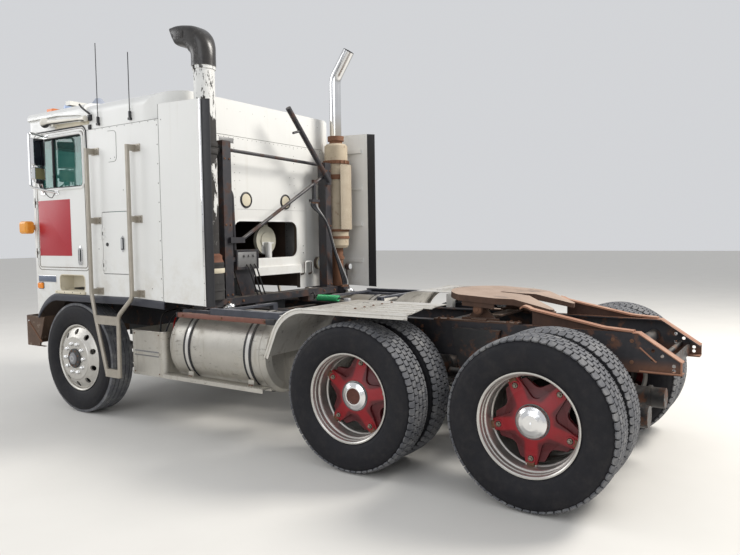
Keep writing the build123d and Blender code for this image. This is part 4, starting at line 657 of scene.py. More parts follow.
def intake_paint():
    """White paint flaking off black steel in tears; black hood and collars, dark canister, brown cone."""
    f = Finish("intake_paint", roughness=0.5)
    z = f.xyz()[2]
    canister_top, band_top, cone, clamps, hood = 1.384, 1.426, (1.478, 1.552), (2.39, 2.51), 3.137
    near_clamps = f.times(f.step(z, 2.26, 2.40), f.step(z, 2.76, 2.56))
    foot, head = f.step(z, 2.05, 1.60), f.step(z, 2.65, 2.95)
    flakes = f.noise(16, 9, 0.72, stretch=(1, 1, 0.28))
    bare = f.math("ADD", flakes, f.times(f.most(near_clamps, foot), 0.17))
    bare = f.step(f.math("SUBTRACT", bare, f.times(head, 0.03)), 0.512, 0.526)
    black = f.cloud((0.010, 0.010, 0.011), (0.045, 0.040, 0.036), 40, 5)
    f.base = f.mix(bare, f.cloud((0.62, 0.62, 0.60), (0.78, 0.78, 0.76), 20, 4), black)
    f.coat(black, f.most(f.over(z, hood), f.between(z, *clamps), f.under(z, 1.48)))
    f.coat(f.cloud(RUST_DARK, (0.22, 0.085, 0.045), 30, 6), f.between(z, *cone))
    f.coat(CREAM, f.between(z, canister_top, band_top))
    f.coat(f.cloud((0.020, 0.020, 0.022), (0.060, 0.056, 0.052), 12, 6), f.under(z, canister_top))
    f.bump(f.without(bare), 0.0006)
    return f.close(f.level(f.over(z, hood), f.level(bare, 0.42, 0.75), 0.30))


def exhaust_paint():
    """Baked beige muffler with rusty clamps, a pierced heat shield, a rusty inlet and a bright stack."""
    f = Finish("exhaust_paint")
    z = f.xyz()[2]
    f.base = f.cloud((0.36, 0.29, 0.20), (0.56, 0.48, 0.36), 7, 6, 0.65)
    f.coat((0.17, 0.09, 0.05), f.patches(0.55, 0.68, 20, 7, 0.7), 0.6)
    inlet, neck, stack_foot = (1.0, 1.561), (2.690, 2.7665), 2.767
    shield_r, shield_z = 0.1505, (1.75, 2.46)
    bottom_rims, clamps = ((1.661, 1.689), (1.737, 1.765)), ((2.299, 2.351), (2.465, 2.503))
    bands = [f.between(z, *band) for band in (*clamps, *bottom_rims, neck, inlet)]
    f.coat(f.cloud(RUST_DARK, RUST_LIGHT, 35, 6, 0.7), f.most(*bands))
    shield = f.times(f.over(f.radius("z", (EXHAUST_X, STACK_Y, 0)), shield_r), f.between(z, *shield_z))
    flat = f.split(f.place(centre=spot(EXHAUST_X, STACK_Y, 0)))
    around_it, up_it = [f.free("SINE", f.free("MULTIPLY", value, count)) for value, count in
                        ((f.free("ARCTAN2", flat[1], flat[0]), 62.0), (z, 388.0))]
    holes = f.step(f.free("MULTIPLY", around_it, up_it), 0.22, 0.30)
    f.coat(f.mix(holes, f.cloud((0.40, 0.33, 0.24), (0.60, 0.53, 0.42), 12, 5), (0.16, 0.12, 0.08)), shield)
    chrome = f.over(z, stack_foot)
    f.coat(f.cloud((0.62, 0.62, 0.62), (0.80, 0.80, 0.80), 8, 4), chrome)
    f.coat((0.45, 0.36, 0.24), chrome, f.step(z, 3.05, 2.78), 0.55)
    f.bump(f.times(f.noise(60, 6, 0.7), f.without(chrome)), 0.0008)
    return f.close(f.level(chrome, 0.75, 0.14), f.level(chrome, 0.05, 1.0))


def drive_wheel_paint(name, y, domed, first):
    """Grey-gold dished rim, red spider with painted shade on its arm flanks, dark drum and hub behind, bright
    cap, cored or domed.
    """
    f = Finish(name)
    r, x = f.radius("x", (0, y, AXLE_Z)), f.xyz(True)[0]
    rim_r, cap_r, core_r, spider_x, cap_x = 0.2805, 0.1045, 0.0588, 0.955, 1.0808
    f.base = f.cloud((0.44, 0.42, 0.39), (0.66, 0.645, 0.61), 40, 2, stretch=(1, 0.02, 0.02))
    f.coat((0.22, 0.16, 0.10), f.patches(0.56, 0.70, 22, 6, 0.7), 0.4)
    red = f.cloud((0.21, 0.006, 0.012), (0.40, 0.013, 0.020), 18, 6, 0.65)
    red = f.mix(f.times(f.patches(0.42, 0.72, 9, 6, 0.65), 0.4), red, (0.07, 0.022, 0.020))
    # Painted shade: away from each arm's middle line the red darkens, so only a narrow lit face of every arm
    # stays bright.
    flat = f.split(f.place(centre=spot(0, y, AXLE_Z)))
    angle = f.free("SUBTRACT", f.free("ARCTAN2", flat[2], flat[1]), radians(first))
    off_spoke = f.free("SINE", f.free("PINGPONG", angle, radians(180 / SPOKES)))
    flank_shade = f.step(f.free("MULTIPLY", r, off_spoke), 0.030, 0.052)
    red = f.mix(f.times(flank_shade, f.step(r, 0.105, 0.15), 0.8), red, (0.050, 0.010, 0.012))
    cast = f.times(f.under(r, rim_r), f.over(x, spider_x))
    zones = [(cast, red, 0.0, 0.48),
             (f.times(f.under(x, spider_x), f.under(r, rim_r)), (0.018, 0.014, 0.013), 0.0, 0.8),
             (f.times(f.under(r, cap_r), f.over(x, cap_x)), (0.78, 0.78, 0.78), 1.0, 0.10)]
    if not domed:
        core = f.cloud((0.05, 0.018, 0.012), (0.15, 0.055, 0.035), 60, 6)
        zones.append((f.times(f.under(r, core_r), f.between(x, 1.09, 1.105)), core, 0.0, 0.85))
    metal, rough = 0.8, 0.33
    for share, colour, zone_metal, zone_rough in zones:
        f.coat(colour, share)
        metal, rough = f.level(share, metal, zone_metal), f.level(share, rough, zone_rough)
    f.bump(f.times(f.noise(110, 4), cast), 0.0010)
    return f.close(rough, metal)


def steer_wheel_paint():
    """Dull aluminium disc with a dark greasy hub and a grey cap in it; dark drum behind."""
    f = Finish("steer_wheel_paint")
    r, x = f.radius("x", (0, 0, AXLE_Z)), f.xyz(True)[0]
    f.base = f.cloud((0.50, 0.48, 0.44), (0.68, 0.66, 0.62), 7, 6, 0.65)
    f.coat((0.33, 0.28, 0.20), f.patches(0.55, 0.70, 26, 6, 0.7), 0.4)
    hub_r, cap_r, hub_x, drum_x = 0.0958, 0.0545, 1.2065, 1.035
    hub, drum = f.times(f.under(r, hub_r), f.over(x, hub_x)), f.under(x, drum_x)
    f.coat(f.cloud((0.022, 0.022, 0.024), (0.075, 0.072, 0.070), 60, 5), hub)
    f.coat((0.24, 0.24, 0.25), hub, f.under(r, cap_r))
    f.coat((0.020, 0.017, 0.015), drum)
    shut = f.most(hub, drum)
    f.bump(f.noise(160, 3), 0.0002)
    return f.close(f.level(shut, f.level(f.noise(14), 0.32, 0.50), 0.5), f.level(shut, 0.7, 0.1))


def roof_fittings_paint():
    """Cream horn, amber marker lamps, pale blue domes, white light bars, a grey cone, black aerials; painted
    shade underneath.
    """
    f = Finish("roof_fittings_paint", roughness=0.35)
    f.base = f.cloud((0.66, 0.62, 0.52), (0.80, 0.78, 0.72), 14, 5)
    for low, high, colour in (((None, None), (1190, -384), (0.80, 0.22, 0.05)),
                              ((None, -365), (1190, -236), (0.42, 0.52, 0.74)),
                              ((600, -175), (1190, -95), (0.70, 0.69, 0.64)),
                              ((790, -10), (1000, 180), (0.36, 0.39, 0.46)),
                              ((1180, 488), (None, None), (0.015, 0.015, 0.017))):
        f.coat(colour, f.within(low, high))
    # Painted shade: every face that points down is made near-black.
    f.coat((0.02, 0.02, 0.02), f.upward(-0.4, -0.8))
    f.bump(f.noise(120, 3), 0.0002)
    return f.close()


def deck_paint():
    """Dusty blue-black ledges."""
    f = Finish("deck_paint", roughness=0.55)
    f.base = f.cloud((0.020, 0.022, 0.030), (0.060, 0.065, 0.085), 16, 5)
    f.coat((0.34, 0.34, 0.36), f.upward(0.2, 0.9), f.patches(0.30, 0.65, 10, 6, 0.6), 0.7)
    f.bump(f.noise(80, 6, 0.7), 0.0006)
    return f.close()


def engine_hatch_paint():
    """Brown-black floor and tunnel, with a cream air cleaner and a white filter in the hatch."""
    f = Finish("engine_hatch_paint", roughness=0.7)
    f.base = f.cloud((0.030, 0.020, 0.016), (0.085, 0.052, 0.036), 12, 6, 0.65)
    cleaner = f.within((-300, 1230, 1500), (0, 1300, 1815), False)
    f.coat(f.cloud((0.40, 0.38, 0.30), (0.58, 0.56, 0.47), 9, 5), cleaner)
    f.coat((0.72, 0.72, 0.70), f.within((-200, 1276, 1470), (-80, 1400, 1640), False))
    f.bump(f.noise(60, 5), 0.0006)
    return f.close()


def lamp_housing():
    """Bright bezels round the headlamps and amber turn lamps at the corners."""
    f = Finish("lamp_housing", roughness=0.25)
    amber = f.within((1190, None, 1740), (None, None, 1885))
    f.base = f.mix(amber, (0.70, 0.70, 0.70), f.cloud((0.72, 0.27, 0.02), (0.86, 0.38, 0.05), 20))
    return f.close(f.level(amber, 0.12, 0.3), f.level(amber, 1.0, 0.0))


def tyre_rubber(name, colour, dust_share, dust_colour):
    """Rubber in the colour given, with dust in patches."""
    f = Finish(name, roughness=0.75, Specular_IOR_Level=0.25)
    f.base = f.cloud([c * 0.7 for c in colour], [c * 1.3 for c in colour], 30, 5)
    dust = f.times(f.patches(0.42, 0.75, 13, 8, 0.72), dust_share)
    f.coat(dust_colour, dust)
    f.bump(f.noise(260, 3), 0.0003)
    return f.close(f.level(dust, 0.62, 0.92))


def tinted_glass():
    """Teal window glass: see-through, with a thin green body colour and a film of dust."""
    f = Finish("tinted_glass", roughness=0.06, IOR=1.45, Transmission_Weight=0.88)
    film = f.patches(0.4, 0.8, 7, 5, 0.6)
    f.base = f.mix(film, (0.17, 0.41, 0.37), (0.29, 0.50, 0.45))
    return f.close(f.level(film, 0.03, 0.14))


SHELL_WHITE = cab_white("shell_white", True)
WHITE = cab_white("panel_white", False)
BLACK = worn_black()
RACK_BLACK = worn_black("rack_black", 0.35, 0.004)
COUPLING = coupling_rust()
RAMP = ramp_rust()
INTAKE_PAINT = intake_paint()
ALLOY = dull_aluminium("tank_alloy")
PALE_ALLOY = dull_aluminium("fender_alloy", 0.21)
STRAP_ALLOY = dull_aluminium("step_alloy", 0.0, True)
GLASS = tinted_glass()
WALL_RUBBER = tyre_rubber("wall_rubber", (0.010, 0.010, 0.013), 0.16, (0.085, 0.075, 0.065))
# The tread is far lighter than the walls: partly dust and wear, partly painted light falling on the tread
# from above.
LIT_DUSTY_TREAD = tyre_rubber("lit_dusty_tread", (0.11, 0.113, 0.124), 0.60, (0.35, 0.345, 0.335))
CAST = plain("engine_cast", (0.10, 0.105, 0.11), 0.6, dust=0.4)
TRIM = plain("dark_trim", (0.030, 0.032, 0.044), 0.42, dust=0.15)
SEAT = plain("seat_vinyl", (0.10, 0.065, 0.05), 0.5)
CHROME = plain("chrome", (0.80, 0.80, 0.80), 0.09, 1.0, vary=0.04, depth=0.00005)
RAIL_TAN = plain("rail_tan", (0.40, 0.365, 0.31), 0.36, 0.6, vary=0.2)
AMBER = plain("amber_lens", (0.85, 0.26, 0.02), 0.2, vary=0.1, depth=0.0002)
SIGN_RED = plain("sign_red", (0.40, 0.018, 0.030), 0.4, vary=0.10, grain=12, depth=0.0002)
RUBBER = plain("black_rubber", (0.014, 0.014, 0.017), 0.55, dust=0.25)
GREY_SEAL = plain("grey_seal", (0.17, 0.145, 0.115), 0.7)
SEAM = plain("seam_shadow", (0.075, 0.070, 0.062), 0.8)
PLATE_GREY = plain("plate_grey", (0.22, 0.22, 0.22), 0.45, 0.5, vary=0.3)
CREAM_PAINT = plain("cream_paint", CREAM, 0.55, vary=0.18, grain=30)
# Painted reflections for the mirror panes: glossy near-black for the upper pane, yellowish for the lower, in
# place of mirror glass.
DARK_REFLECTION_PANE = plain("painted_dark_reflection", (0.012, 0.013, 0.020), 0.04, vary=0.1, depth=0.0)
YELLOW_REFLECTION_PANE = plain("painted_yellow_reflection", (0.27, 0.245, 0.12), 0.12, vary=0.25, grain=8, depth=0.0)
LENS = plain("clear_lens", (0.80, 0.82, 0.84), 0.08, vary=0.05, depth=0.0001, Coat_Weight=0.6)
RED_LENS = plain("red_lens", (0.50, 0.015, 0.012), 0.22, vary=0.15, depth=0.0002)
GREEN_HOSE = plain("green_hose", (0.045, 0.42, 0.16), 0.32, vary=0.2)
HOSE = plain("hose_rubber", (0.016, 0.017, 0.022), 0.42, dust=0.2)
NUT = plain("nut_metal", (0.24, 0.21, 0.17), 0.35, 0.7, vary=0.5, grain=90)
GREY_CAP = plain("grey_cap", (0.42, 0.42, 0.42), 0.5)
RUSTY_NUT = plain("rusty_bolt", (0.17, 0.085, 0.05), 0.75, 0.2, vary=0.5)
BADGE_BLUE = plain("badge_blue", (0.13, 0.155, 0.21), 0.4, 0.3)
ARCH_BROWN = plain("arch_brown", (0.045, 0.028, 0.020), 0.8)
BAR_RED = plain("bar_red", (0.17, 0.065, 0.045), 0.6, vary=0.4, dust=0.3)

NODE_FINISHES = {
    "frame_rails": rail_paint(), "frame_ramps": RAMP, "bumper": bumper_rust(), "fifth_wheel_base": COUPLING,
    "fifth_wheel_plate": COUPLING, "fenders": PALE_ALLOY, "tank_steps": STRAP_ALLOY,
    "deck_rails": deck_paint(), "stack_frame": RACK_BLACK, "cab_floor": engine_hatch_paint(),
    "ladders": RAIL_TAN, "front_lamps": lamp_housing(), "roof_fittings": roof_fittings_paint(),
    "side_extenders": WHITE, "roof_visors": WHITE,
}
for axle, y, first in AXLES:
    paint = drive_wheel_paint(axle + "_drive_paint", y, axle == "rear", first)
    for side in ("left", "right"):
        NODE_FINISHES["%s_drive_wheel_%s" % (axle, side)] = paint
SLOT_FINISHES = {
    "white_paint": SHELL_WHITE, "black_frame": BLACK, "bare_aluminium": ALLOY, "engine_grey": CAST,
    "tyre_rubber": WALL_RUBBER, "steer_disc": steer_wheel_paint(), "chrome": CHROME, "glass": GLASS,
    "flaking_stack": INTAKE_PAINT, "beige_muffler": exhaust_paint(), "dark_trim": TRIM, "seat_vinyl": SEAT,
}
for part in frame["record"]["subparts"]:
    mesh = NODES[part["node"]].data
    mesh.materials.clear()
    mesh.materials.append(NODE_FINISHES.get(part["node"]) or SLOT_FINISHES[part["material_slot"]])


# Tyres

TREAD_HALF, TREAD_FLAT, BEAD_R = 124, 95, 312


def crown(u, lift, radius, shoulder=34, drop=4):
    """Where a tread point lies: flat across the middle, then round the shoulder, lifted along its normal."""
    over = np.clip(np.abs(u) - TREAD_FLAT, 0, None) / shoulder
    level = radius - drop * np.clip(np.abs(u) / TREAD_FLAT, 0, 1) ** 2
    x = np.sign(u) * (np.clip(np.abs(u), 0, TREAD_FLAT) + (shoulder + lift) * np.sin(over))
    return x, level - shoulder * (1 - np.cos(over)) + lift * np.cos(over)


def tread_blocks(radius, rows=5, pitch_count=66, base=-3, top=13, bevel=1.6):
    """Zigzag blocks along each row: an eight-sided plan, its sides bent by turns, bevelled at the top."""
    pitch, width = 2 * np.pi * radius / pitch_count, 2 * TREAD_HALF / rows
    half_w, half_l, bend = width / 2 - 4.2, pitch / 2 - 4.4, 4.5
    inner, outer = half_w - bend / 2, half_w + bend / 2
    plan = np.array([(-outer, -half_l), (0, bend - half_l), (inner, -half_l), (outer, 0),
                     (inner, half_l), (0, bend + half_l), (-outer, half_l), (-inner, 0)])
    pts, faces = stack([(plan, base), (plan, top - bevel), (inset(plan, bevel), top)])
    lid = np.arange(len(pts) - len(plan), len(pts))[None]
    row_middles = (np.arange(rows) - (rows - 1) / 2) * width
    k, j = np.meshgrid(np.arange(pitch_count), np.arange(rows), indexing="ij")
    places = np.stack([row_middles[j], (k + 0.5 * (j % 2)) * pitch, 0 * row_middles[j]], -1).reshape(-1, 3)
    body, faces = copies((pts, faces + [lid]), places)
    u, v, h = body.T
    edge = np.clip((np.abs(u) - TREAD_FLAT) / 38, 0, 1)
    x, r = crown(u, np.where(h > 0, h * (1 - 0.45 * edge), h), radius - top)
    a = v / radius
    return np.stack([x, r * np.sin(a), r * np.cos(a)], 1), faces


def wall_profile(crown_radius, flat):
    """Half a tyre's section from the crown's middle to the bead: points with ridges on the wall."""
    line = half_round([(0, crown_radius), (flat, crown_radius - 4), (122, crown_radius - 20), (131, 492),
                       (137, 462), (139.5, 428), (133, 385), (119, 345), (104, 328), (103, BEAD_R)], 3)
    x, r = line.T
    ridges = sum(np.exp(-((r - centre) / 2.2) ** 2) for centre in (484, 474, 352))
    return np.stack([x + 1.8 * ridges * (x > 100), r], 1)


def tyre(name, body, centre, grooved):
    """A tyre: its section turned round the axle, with ribs and grooves or with rows of zigzag blocks."""
    if grooved:
        groove_r, rib_r, slope, edge = 526, 538.5, 2, 112
        ribs = []
        for a, b in zip((-edge, -66, -22, 28, 72), (-72, -28, 22, 66, edge)):
            ribs += [(a, groove_r), (a + slope, rib_r), (b - slope, rib_r), (b, groove_r)]
        ribs = np.array(ribs, float)
        ribs[:, 1] -= 4 * (ribs[:, 0] / edge) ** 2
        half = wall_profile(groove_r, 104)
        half = half[half[:, 0] > edge]
        outer = [half[::-1] * (-1, 1), ribs, half]
    else:
        half = wall_profile(527, TREAD_FLAT)
        outer = [half[::-1] * (-1, 1), half[1:]]
    inner = [(80, BEAD_R), (98, 360), (122, 428), (98, 495), (0, 505), (-98, 495), (-122, 428), (-98, 360),
             (-80, BEAD_R)]
    section = np.vstack([*outer, np.array(inner)])
    steps, count = 120, len(section)
    pts, faces = turned(section, centre, steps=steps, closed=True)
    if grooved:
        tread = (np.abs(section[:, 0]) < 118) & (section[:, 1] > 500)
        column = np.tile(np.arange(count), steps)
        on_tread = tread[column] & tread[(column + 1) % count]
        shapes = [(pts, [faces[0][~on_tread]]), (pts, [faces[0][on_tread]])]
    else:
        blocks, block_faces = tread_blocks(AXLE_Z)
        shapes = [(pts, faces), (blocks + centre, block_faces)]
    # The steer ribs and grooves and the drive blocks take the tread finish, lighter partly by painted light.
    return piece(name, body, [WALL_RUBBER, LIT_DUSTY_TREAD], shapes)


for side, sign in (("left", 1), ("right", -1)):
    made = tyre("steer_tread_" + side, "steer_wheel_" + side, (sign * STEER_X, 0, AXLE_Z), True)
    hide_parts("steer_tyre_" + side)
    for axle, y, _ in AXLES:
        for x, word in zip(DUAL_X, ("inner", "outer")):
            made = tyre("%s_drive_%s_tyre_%s" % (axle, word, side), "%s_drive_%s" % (axle, side),
                        (sign * x, y, AXLE_Z), False)
            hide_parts("%s_drive_tyres_%s" % (axle, side))


# Wheel nuts and rings

def around(count, radius, first, y, x):
    """Places evenly round a wheel's axle at one X."""
    a = np.radians(first + 360 / count * np.arange(count))
    return np.stack([np.full(count, x), y + radius * np.cos(a), AXLE_Z + radius * np.sin(a)], 1)


acorn = joined(turned([(0, 22), (4, 22), (5, 18)], steps=16), turned([(4, 19), (19, 19), (22, 16)], steps=6),
               turned([(20, 16), (27, 13.5), (31, 8), (32, 0)], steps=16))
grease_cap = [(1241, 30), (1243, 28), (1243, 16), (1241, 14), (1241, 0)]
both("steer_nuts", "steer_wheel_{}", [CHROME, RUSTY_NUT, GREY_CAP], [
    copies(acorn, around(10, 142, 0, 0, 1205)),
    bolts(around(8, 76, 22.5, 0, 1222), X_AXIS, 7, 7),
    turned(grease_cap, (0, 0, AXLE_Z), steps=32)])
wheel_nut = joined(turned([(0, 18), (18, 18), (20, 15.5), (20, 0)], steps=6),
                   turned([(19, 9.5), (33, 9.5), (35, 7), (35, 0)], steps=14))
clamp = block((-9, 9), (-23, 23), (-17, 17), 4)
for axle, y, first in AXLES:
    angles = np.radians(first + 360 / SPOKES * np.arange(SPOKES))
    turns = [np.array([[1, 0, 0], [0, -sin(a), cos(a)], [0, cos(a), sin(a)]]) for a in angles]
    both(axle + "_wheel_nuts", axle + "_drive_{}", [NUT, RUSTY_NUT, CAST], [
        copies(wheel_nut, around(SPOKES, 240, first, y, 1050)),
        copies(clamp, around(SPOKES, 276, first, y, 1052), turns),
        turned([(1092, 104), (1098, 105), (1098, 109), (1090, 112)], (0, y, AXLE_Z), steps=48)])


# Cab sides and doors

SIDE = wall("x", CAB_X)
BEAD = [(0, -1), (4.2, -1), (3.4, 1.4), (0.8, 1.4)]


def on_side(outline, x=CAB_X):
    """An outline in Y and Z as points at one X."""
    return np.column_stack([np.full(len(outline), x), np.asarray(outline, float)])


def strip(outline, section, closed=False, x=CAB_X, scale=1.0):
    """A section carried along an outline on a side wall."""
    return swept(on_side(outline, x), section, X_AXIS, closed, scale)


opening, door_line = frame_line(WINDOW_Y, WINDOW_Z, WINDOW_R), frame_line(DOOR_Y, DOOR_Z, DOOR_R)
handle_plate = half_round([(158, 1436), (192, 1440), (193, 1590), (158, 1642), (123, 1590), (124, 1440),
                           (158, 1436)])[:-1]
window_latch = bent([(CAB_X + 3, -244, 2308), (CAB_X + 16, -230, 2306), (CAB_X + 16, -214, 2280)], 10)
both("door_trim", "door_{}", [WHITE, RUBBER, GREY_SEAL, SIGN_RED, CHROME], [
    strip(opening, [(0, -1), (26, -1), (25, 6), (18, 11), (7, 11), (0, 6)], True),
    [strip(opening, [(-10, -36), (0, -36), (0, 3), (-5, 5), (-10, 1)], True),
     block((CAB_X - 36, CAB_X - 4), (-264, -244), (2186, 2680), 3),
     block((CAB_X - 12, CAB_X + 6), (-250, -222), (2292, 2326), 4),
     tube(window_latch, 4, 8)],
    strip(frame_line(DOOR_Y, DOOR_Z, DOOR_R, -30), [(-4, -1), (4, -1), (2.6, 3), (-2.6, 3)], True),
    slab(frame_line((-522, 15), (1533, 2077), 5), 2, 0.6, SIDE),
    slab(handle_plate, 4, 1.6, SIDE)])

gutter = bent(on_side([(-572, 2744), (262, 2744), (310, 2706), (314, 2520)], CAB_X + 3), 60)
roof_stay = bent([(CAB_X + 24, 262, 2936), (CAB_X + 25, 300, 2902), (CAB_X + 20, 408, 2834)], 20)
step_pad = [(-190, 1197), (196, 1197), (196, 1212), (60, 1222), (-60, 1222), (-190, 1212)]
patch_line = bent(on_side([(632, 2660), (752, 2655), (748, 2384), (634, 2382)], CAB_X + 0.5), 38)
loose_rivets = [(CAB_X, y, z) for y, z in ((1279, 2689), (1358, 2686), (662, 2414), (723, 2420), (829, 2124),
                                           (1180, 1254), (443, 1600))]
feet = ((415, (1210, 1860, 2490)), (1000, (1205, 1860, 2478)))
foot_screws = [(CAB_X + 8, y + 62, z + dz) for y, heights in feet for z in heights for dz in (-18, 18)]
both("side_trim", "cab", [GREY_SEAL, RUBBER, CREAM_PAINT, SEAM], [
    strip(door_line, [(-3.4, -22), (0, -22), (0, -1), (-3.4, -2)], True),
    [tube(gutter, 6.5, 10), tube(roof_stay, 9, 10),
     block((CAB_X - 4, CAB_X + 24), (372, 418), (2776, 2832), 6),
     block((CAB_X - 2, CAB_X + 12), (356, 402), (2700, 2742), 5),
     slab(step_pad, 3, 1, wall("x", CAB_X - 144))],
    [slab([(-178, 2753), (362, 2749), (368, 2784), (-176, 2796)], 5, 2, SIDE),
     block((CAB_X - 8, CAB_X + 22), (-262, 218), (1166, 1193), 5),
     strip(frame_line((-200, 205), (1192, 1348), 40), [(-3, -2), (6, -2), (5, 3), (-2, 3)], True)],
    [strip([(300, 2700), (1322, 2700)], BEAD),
     strip([(1322, 1150), (1322, 2818)], BEAD),
     swept(patch_line, [(-1.6, -1), (1.6, -1), (1.2, 1.6), (-1.2, 1.6)], X_AXIS),
     rivets(at(CAB_X, range(345, 1300, 106), 2688), X_AXIS, 4.4, 2),
     rivets(at(CAB_X, 1304, range(1180, 2810, 163)), X_AXIS, 5.4, 2.2),
     rivets(loose_rivets, X_AXIS, 5, 2),
     rivets(foot_screws, X_AXIS, 5.5, 2.5),
     rivets(at(CAB_X + 22, (-230, -100, 30, 160), 1180), X_AXIS, 6, 2.5)]])
both("side_plates", "cab", [CHROME, BADGE_BLUE, AMBER, RUBBER], [
    slab(frame_line((-572, -260), (1268, 1336), 6), 3, 1, SIDE),
    slab(frame_line((-567, -265), (1273, 1331), 4), 3.8, 0.6, SIDE),
    slab(frame_line((-574, -486), (1204, 1262), 14), 18, 7, SIDE),
    slab(frame_line((-579, -481), (1199, 1267), 16), 4, 1, SIDE)])


def arc_through(points, count):
    """Points along the circle through three flat points; its middle lies equally far from all three."""
    a, b, c = np.array(points, float)
    middle = np.linalg.solve([b - a, c - a], [(b @ b - a @ a) / 2, (c @ c - a @ a) / 2])
    start, end = a - middle, c - middle
    t = np.linspace(0, 1, count)[:, None]
    turn = np.arccos(unit(start) @ unit(end))
    return middle + (np.sin((1 - t) * turn) * start + np.sin(t * turn) * end) / np.sin(turn)


arch_steps = 18
arch = arc_through([(-611, 912), (-482, 1065), (-286, 1158)], arch_steps)
sill = np.vstack([arch, [(300, 1161), (870, 1165), (1334, 1146)]])
thinned = np.concatenate([np.linspace(0.35, 1, arch_steps), [1, 1, 1]])
liner = np.vstack([arch + np.linspace(2, 6, arch_steps)[:, None] * (0.6, -0.8), [(-100, 1155)]])
both("sill_band", "cab", [TRIM, ARCH_BROWN], [
    strip(sill, [(-3, -26), (-3, 4), (8, 8), (60, 10), (66, 6), (66, -3), (12, -8), (10, -26)],
          scale=thinned),
    strip(liner, [(0, -190), (0, 10), (4, 10), (4, -190)], x=CAB_X - 40)])
both("extender_rubber", "cab", [RUBBER, CHROME, SEAM], [
    slab([(1836, 1131), (1938, 1127), (1938, 2790), (1836, 2803)], 9, 2, wall("x", CAB_X - 11)),
    slab([(1822, 1131), (1846, 1130), (1846, 2801), (1822, 2803)], 3, 1, SIDE),
    rivets(at(CAB_X + 3, 1834, range(1180, 2800, 140)), X_AXIS, 4, 2)])


# Mirrors

def mirror_pane(up, width, height):
    """A pane in the mirror head's rear face, which is turned a little towards the driver."""
    x, y, z, depth, a = 1327, -285, 2462, 13.6, radians(22)

    def place(p):
        u, v, w = p[..., 0], p[..., 1], p[..., 2] + depth
        return np.stack([x + u * cos(a) - w * sin(a), y + u * sin(a) + w * cos(a), z + up + v], -1)
    return slab(corners(width - 16, height - 16, 10), 2, 0.6, place)


mirror_cables = [([(1327, -285, 2262), (1330, -270, 2205), (1290, -262, 2168), (1240, -240, 2160),
                   (1214, -226, 2146)], 4.5),
                 ([(1310, -292, 2264), (1300, -286, 2200), (1262, -262, 2120), (1232, -238, 2098),
                   (1216, -214, 2140)], 3.5)]
# The upper mirror pane takes the dark painted reflection, the lower one the yellowish painted reflection.
both("mirror_panes", "door_{}", [DARK_REFLECTION_PANE, YELLOW_REFLECTION_PANE, RUBBER], [
    mirror_pane(68, 165, 262), mirror_pane(-137, 151, 120),
    [*[tube(curve(route), radius, 8) for route, radius in mirror_cables],
     block((1296, 1352), (-306, -268), (2232, 2268), 8)]])


# Cab rear wall

BACK = wall("y", CAB_REAR)


def on_back(outline, y=CAB_REAR):
    """An outline in X and Z as points at one Y."""
    o = np.asarray(outline, float)
    return np.column_stack([o[:, 0], np.full(len(o), y), o[:, 1]])


port_centres = [(x, CAB_REAR, 2045) for x in (285, -285)]
port_discs = [turned([(0, 64), (5, 62), (7, 55), (6, 0)], centre, Y_AXIS, 40) for centre in port_centres]
port_gaskets = [turned([(0, 59), (0, 77), (7, 77), (12, 71), (12, 64), (6, 59)], centre, Y_AXIS, 40, True)
                for centre in port_centres]
columns = ((430, range(1990, 2600, 76)), (362, (2070, 2225, 2297)), (880, range(1240, 2600, 113)))
column_rivets = [(s * x, CAB_REAR, z) for s in (1, -1) for x, zs in columns for z in zs]
hatch = on_back(frame_line((-470, 470), (1470, 1855), 100))
fold = on_back([(-593, 1960), (409, 1956)])
piece("rear_wall_trim", "cab", [SEAM, WHITE, PLATE_GREY, CREAM_PAINT, RUBBER], [
    [swept(on_back([(-904, 2630), (904, 2630)]), BEAD, Y_AXIS),
     swept(fold, [(-0.8, 0), (0.8, 0), (0.8, 0.8), (-0.8, 0.8)], Y_AXIS),
     rivets(at(range(-870, 900, 62), CAB_REAR, 2614), Y_AXIS, 4, 2),
     rivets(column_rivets, Y_AXIS, 4, 2),
     rivets(at(range(-840, 880, 168), CAB_REAR, 2870), Y_AXIS, 3.5, 1.5)],
    swept(hatch, [(0, -2), (14, -2), (13, 4), (4, 5), (0, 3)], Y_AXIS, True),
    [slab([(433, 2562), (615, 2566), (615, 2612), (433, 2610)], 1.5, 0.5, BACK),
     slab(frame_line((1236, 1380), (1482, 1846), 8), 4, 1.5, wall("x", -500))],
    port_discs,
    [*port_gaskets, rivets(at(-495, 1262, range(1510, 1840, 62)), X_AXIS, 6, 3),
     rivets(at(-560, CAB_REAR, (1517, 1591)), Y_AXIS, 6, 3)]])
piece("rear_lamp_lens", "cab", [LENS, CREAM_PAINT], [
    turned([(0, 60), (6, 57), (12, 44), (16, 22), (17, 0)], (-800, 1484, 1400), Y_AXIS, 36),
    turned([(0, 77), (8, 77), (10, 70), (6, 61), (0, 60)], (-800, 1479, 1400), Y_AXIS, 36, True)])


# Cab front

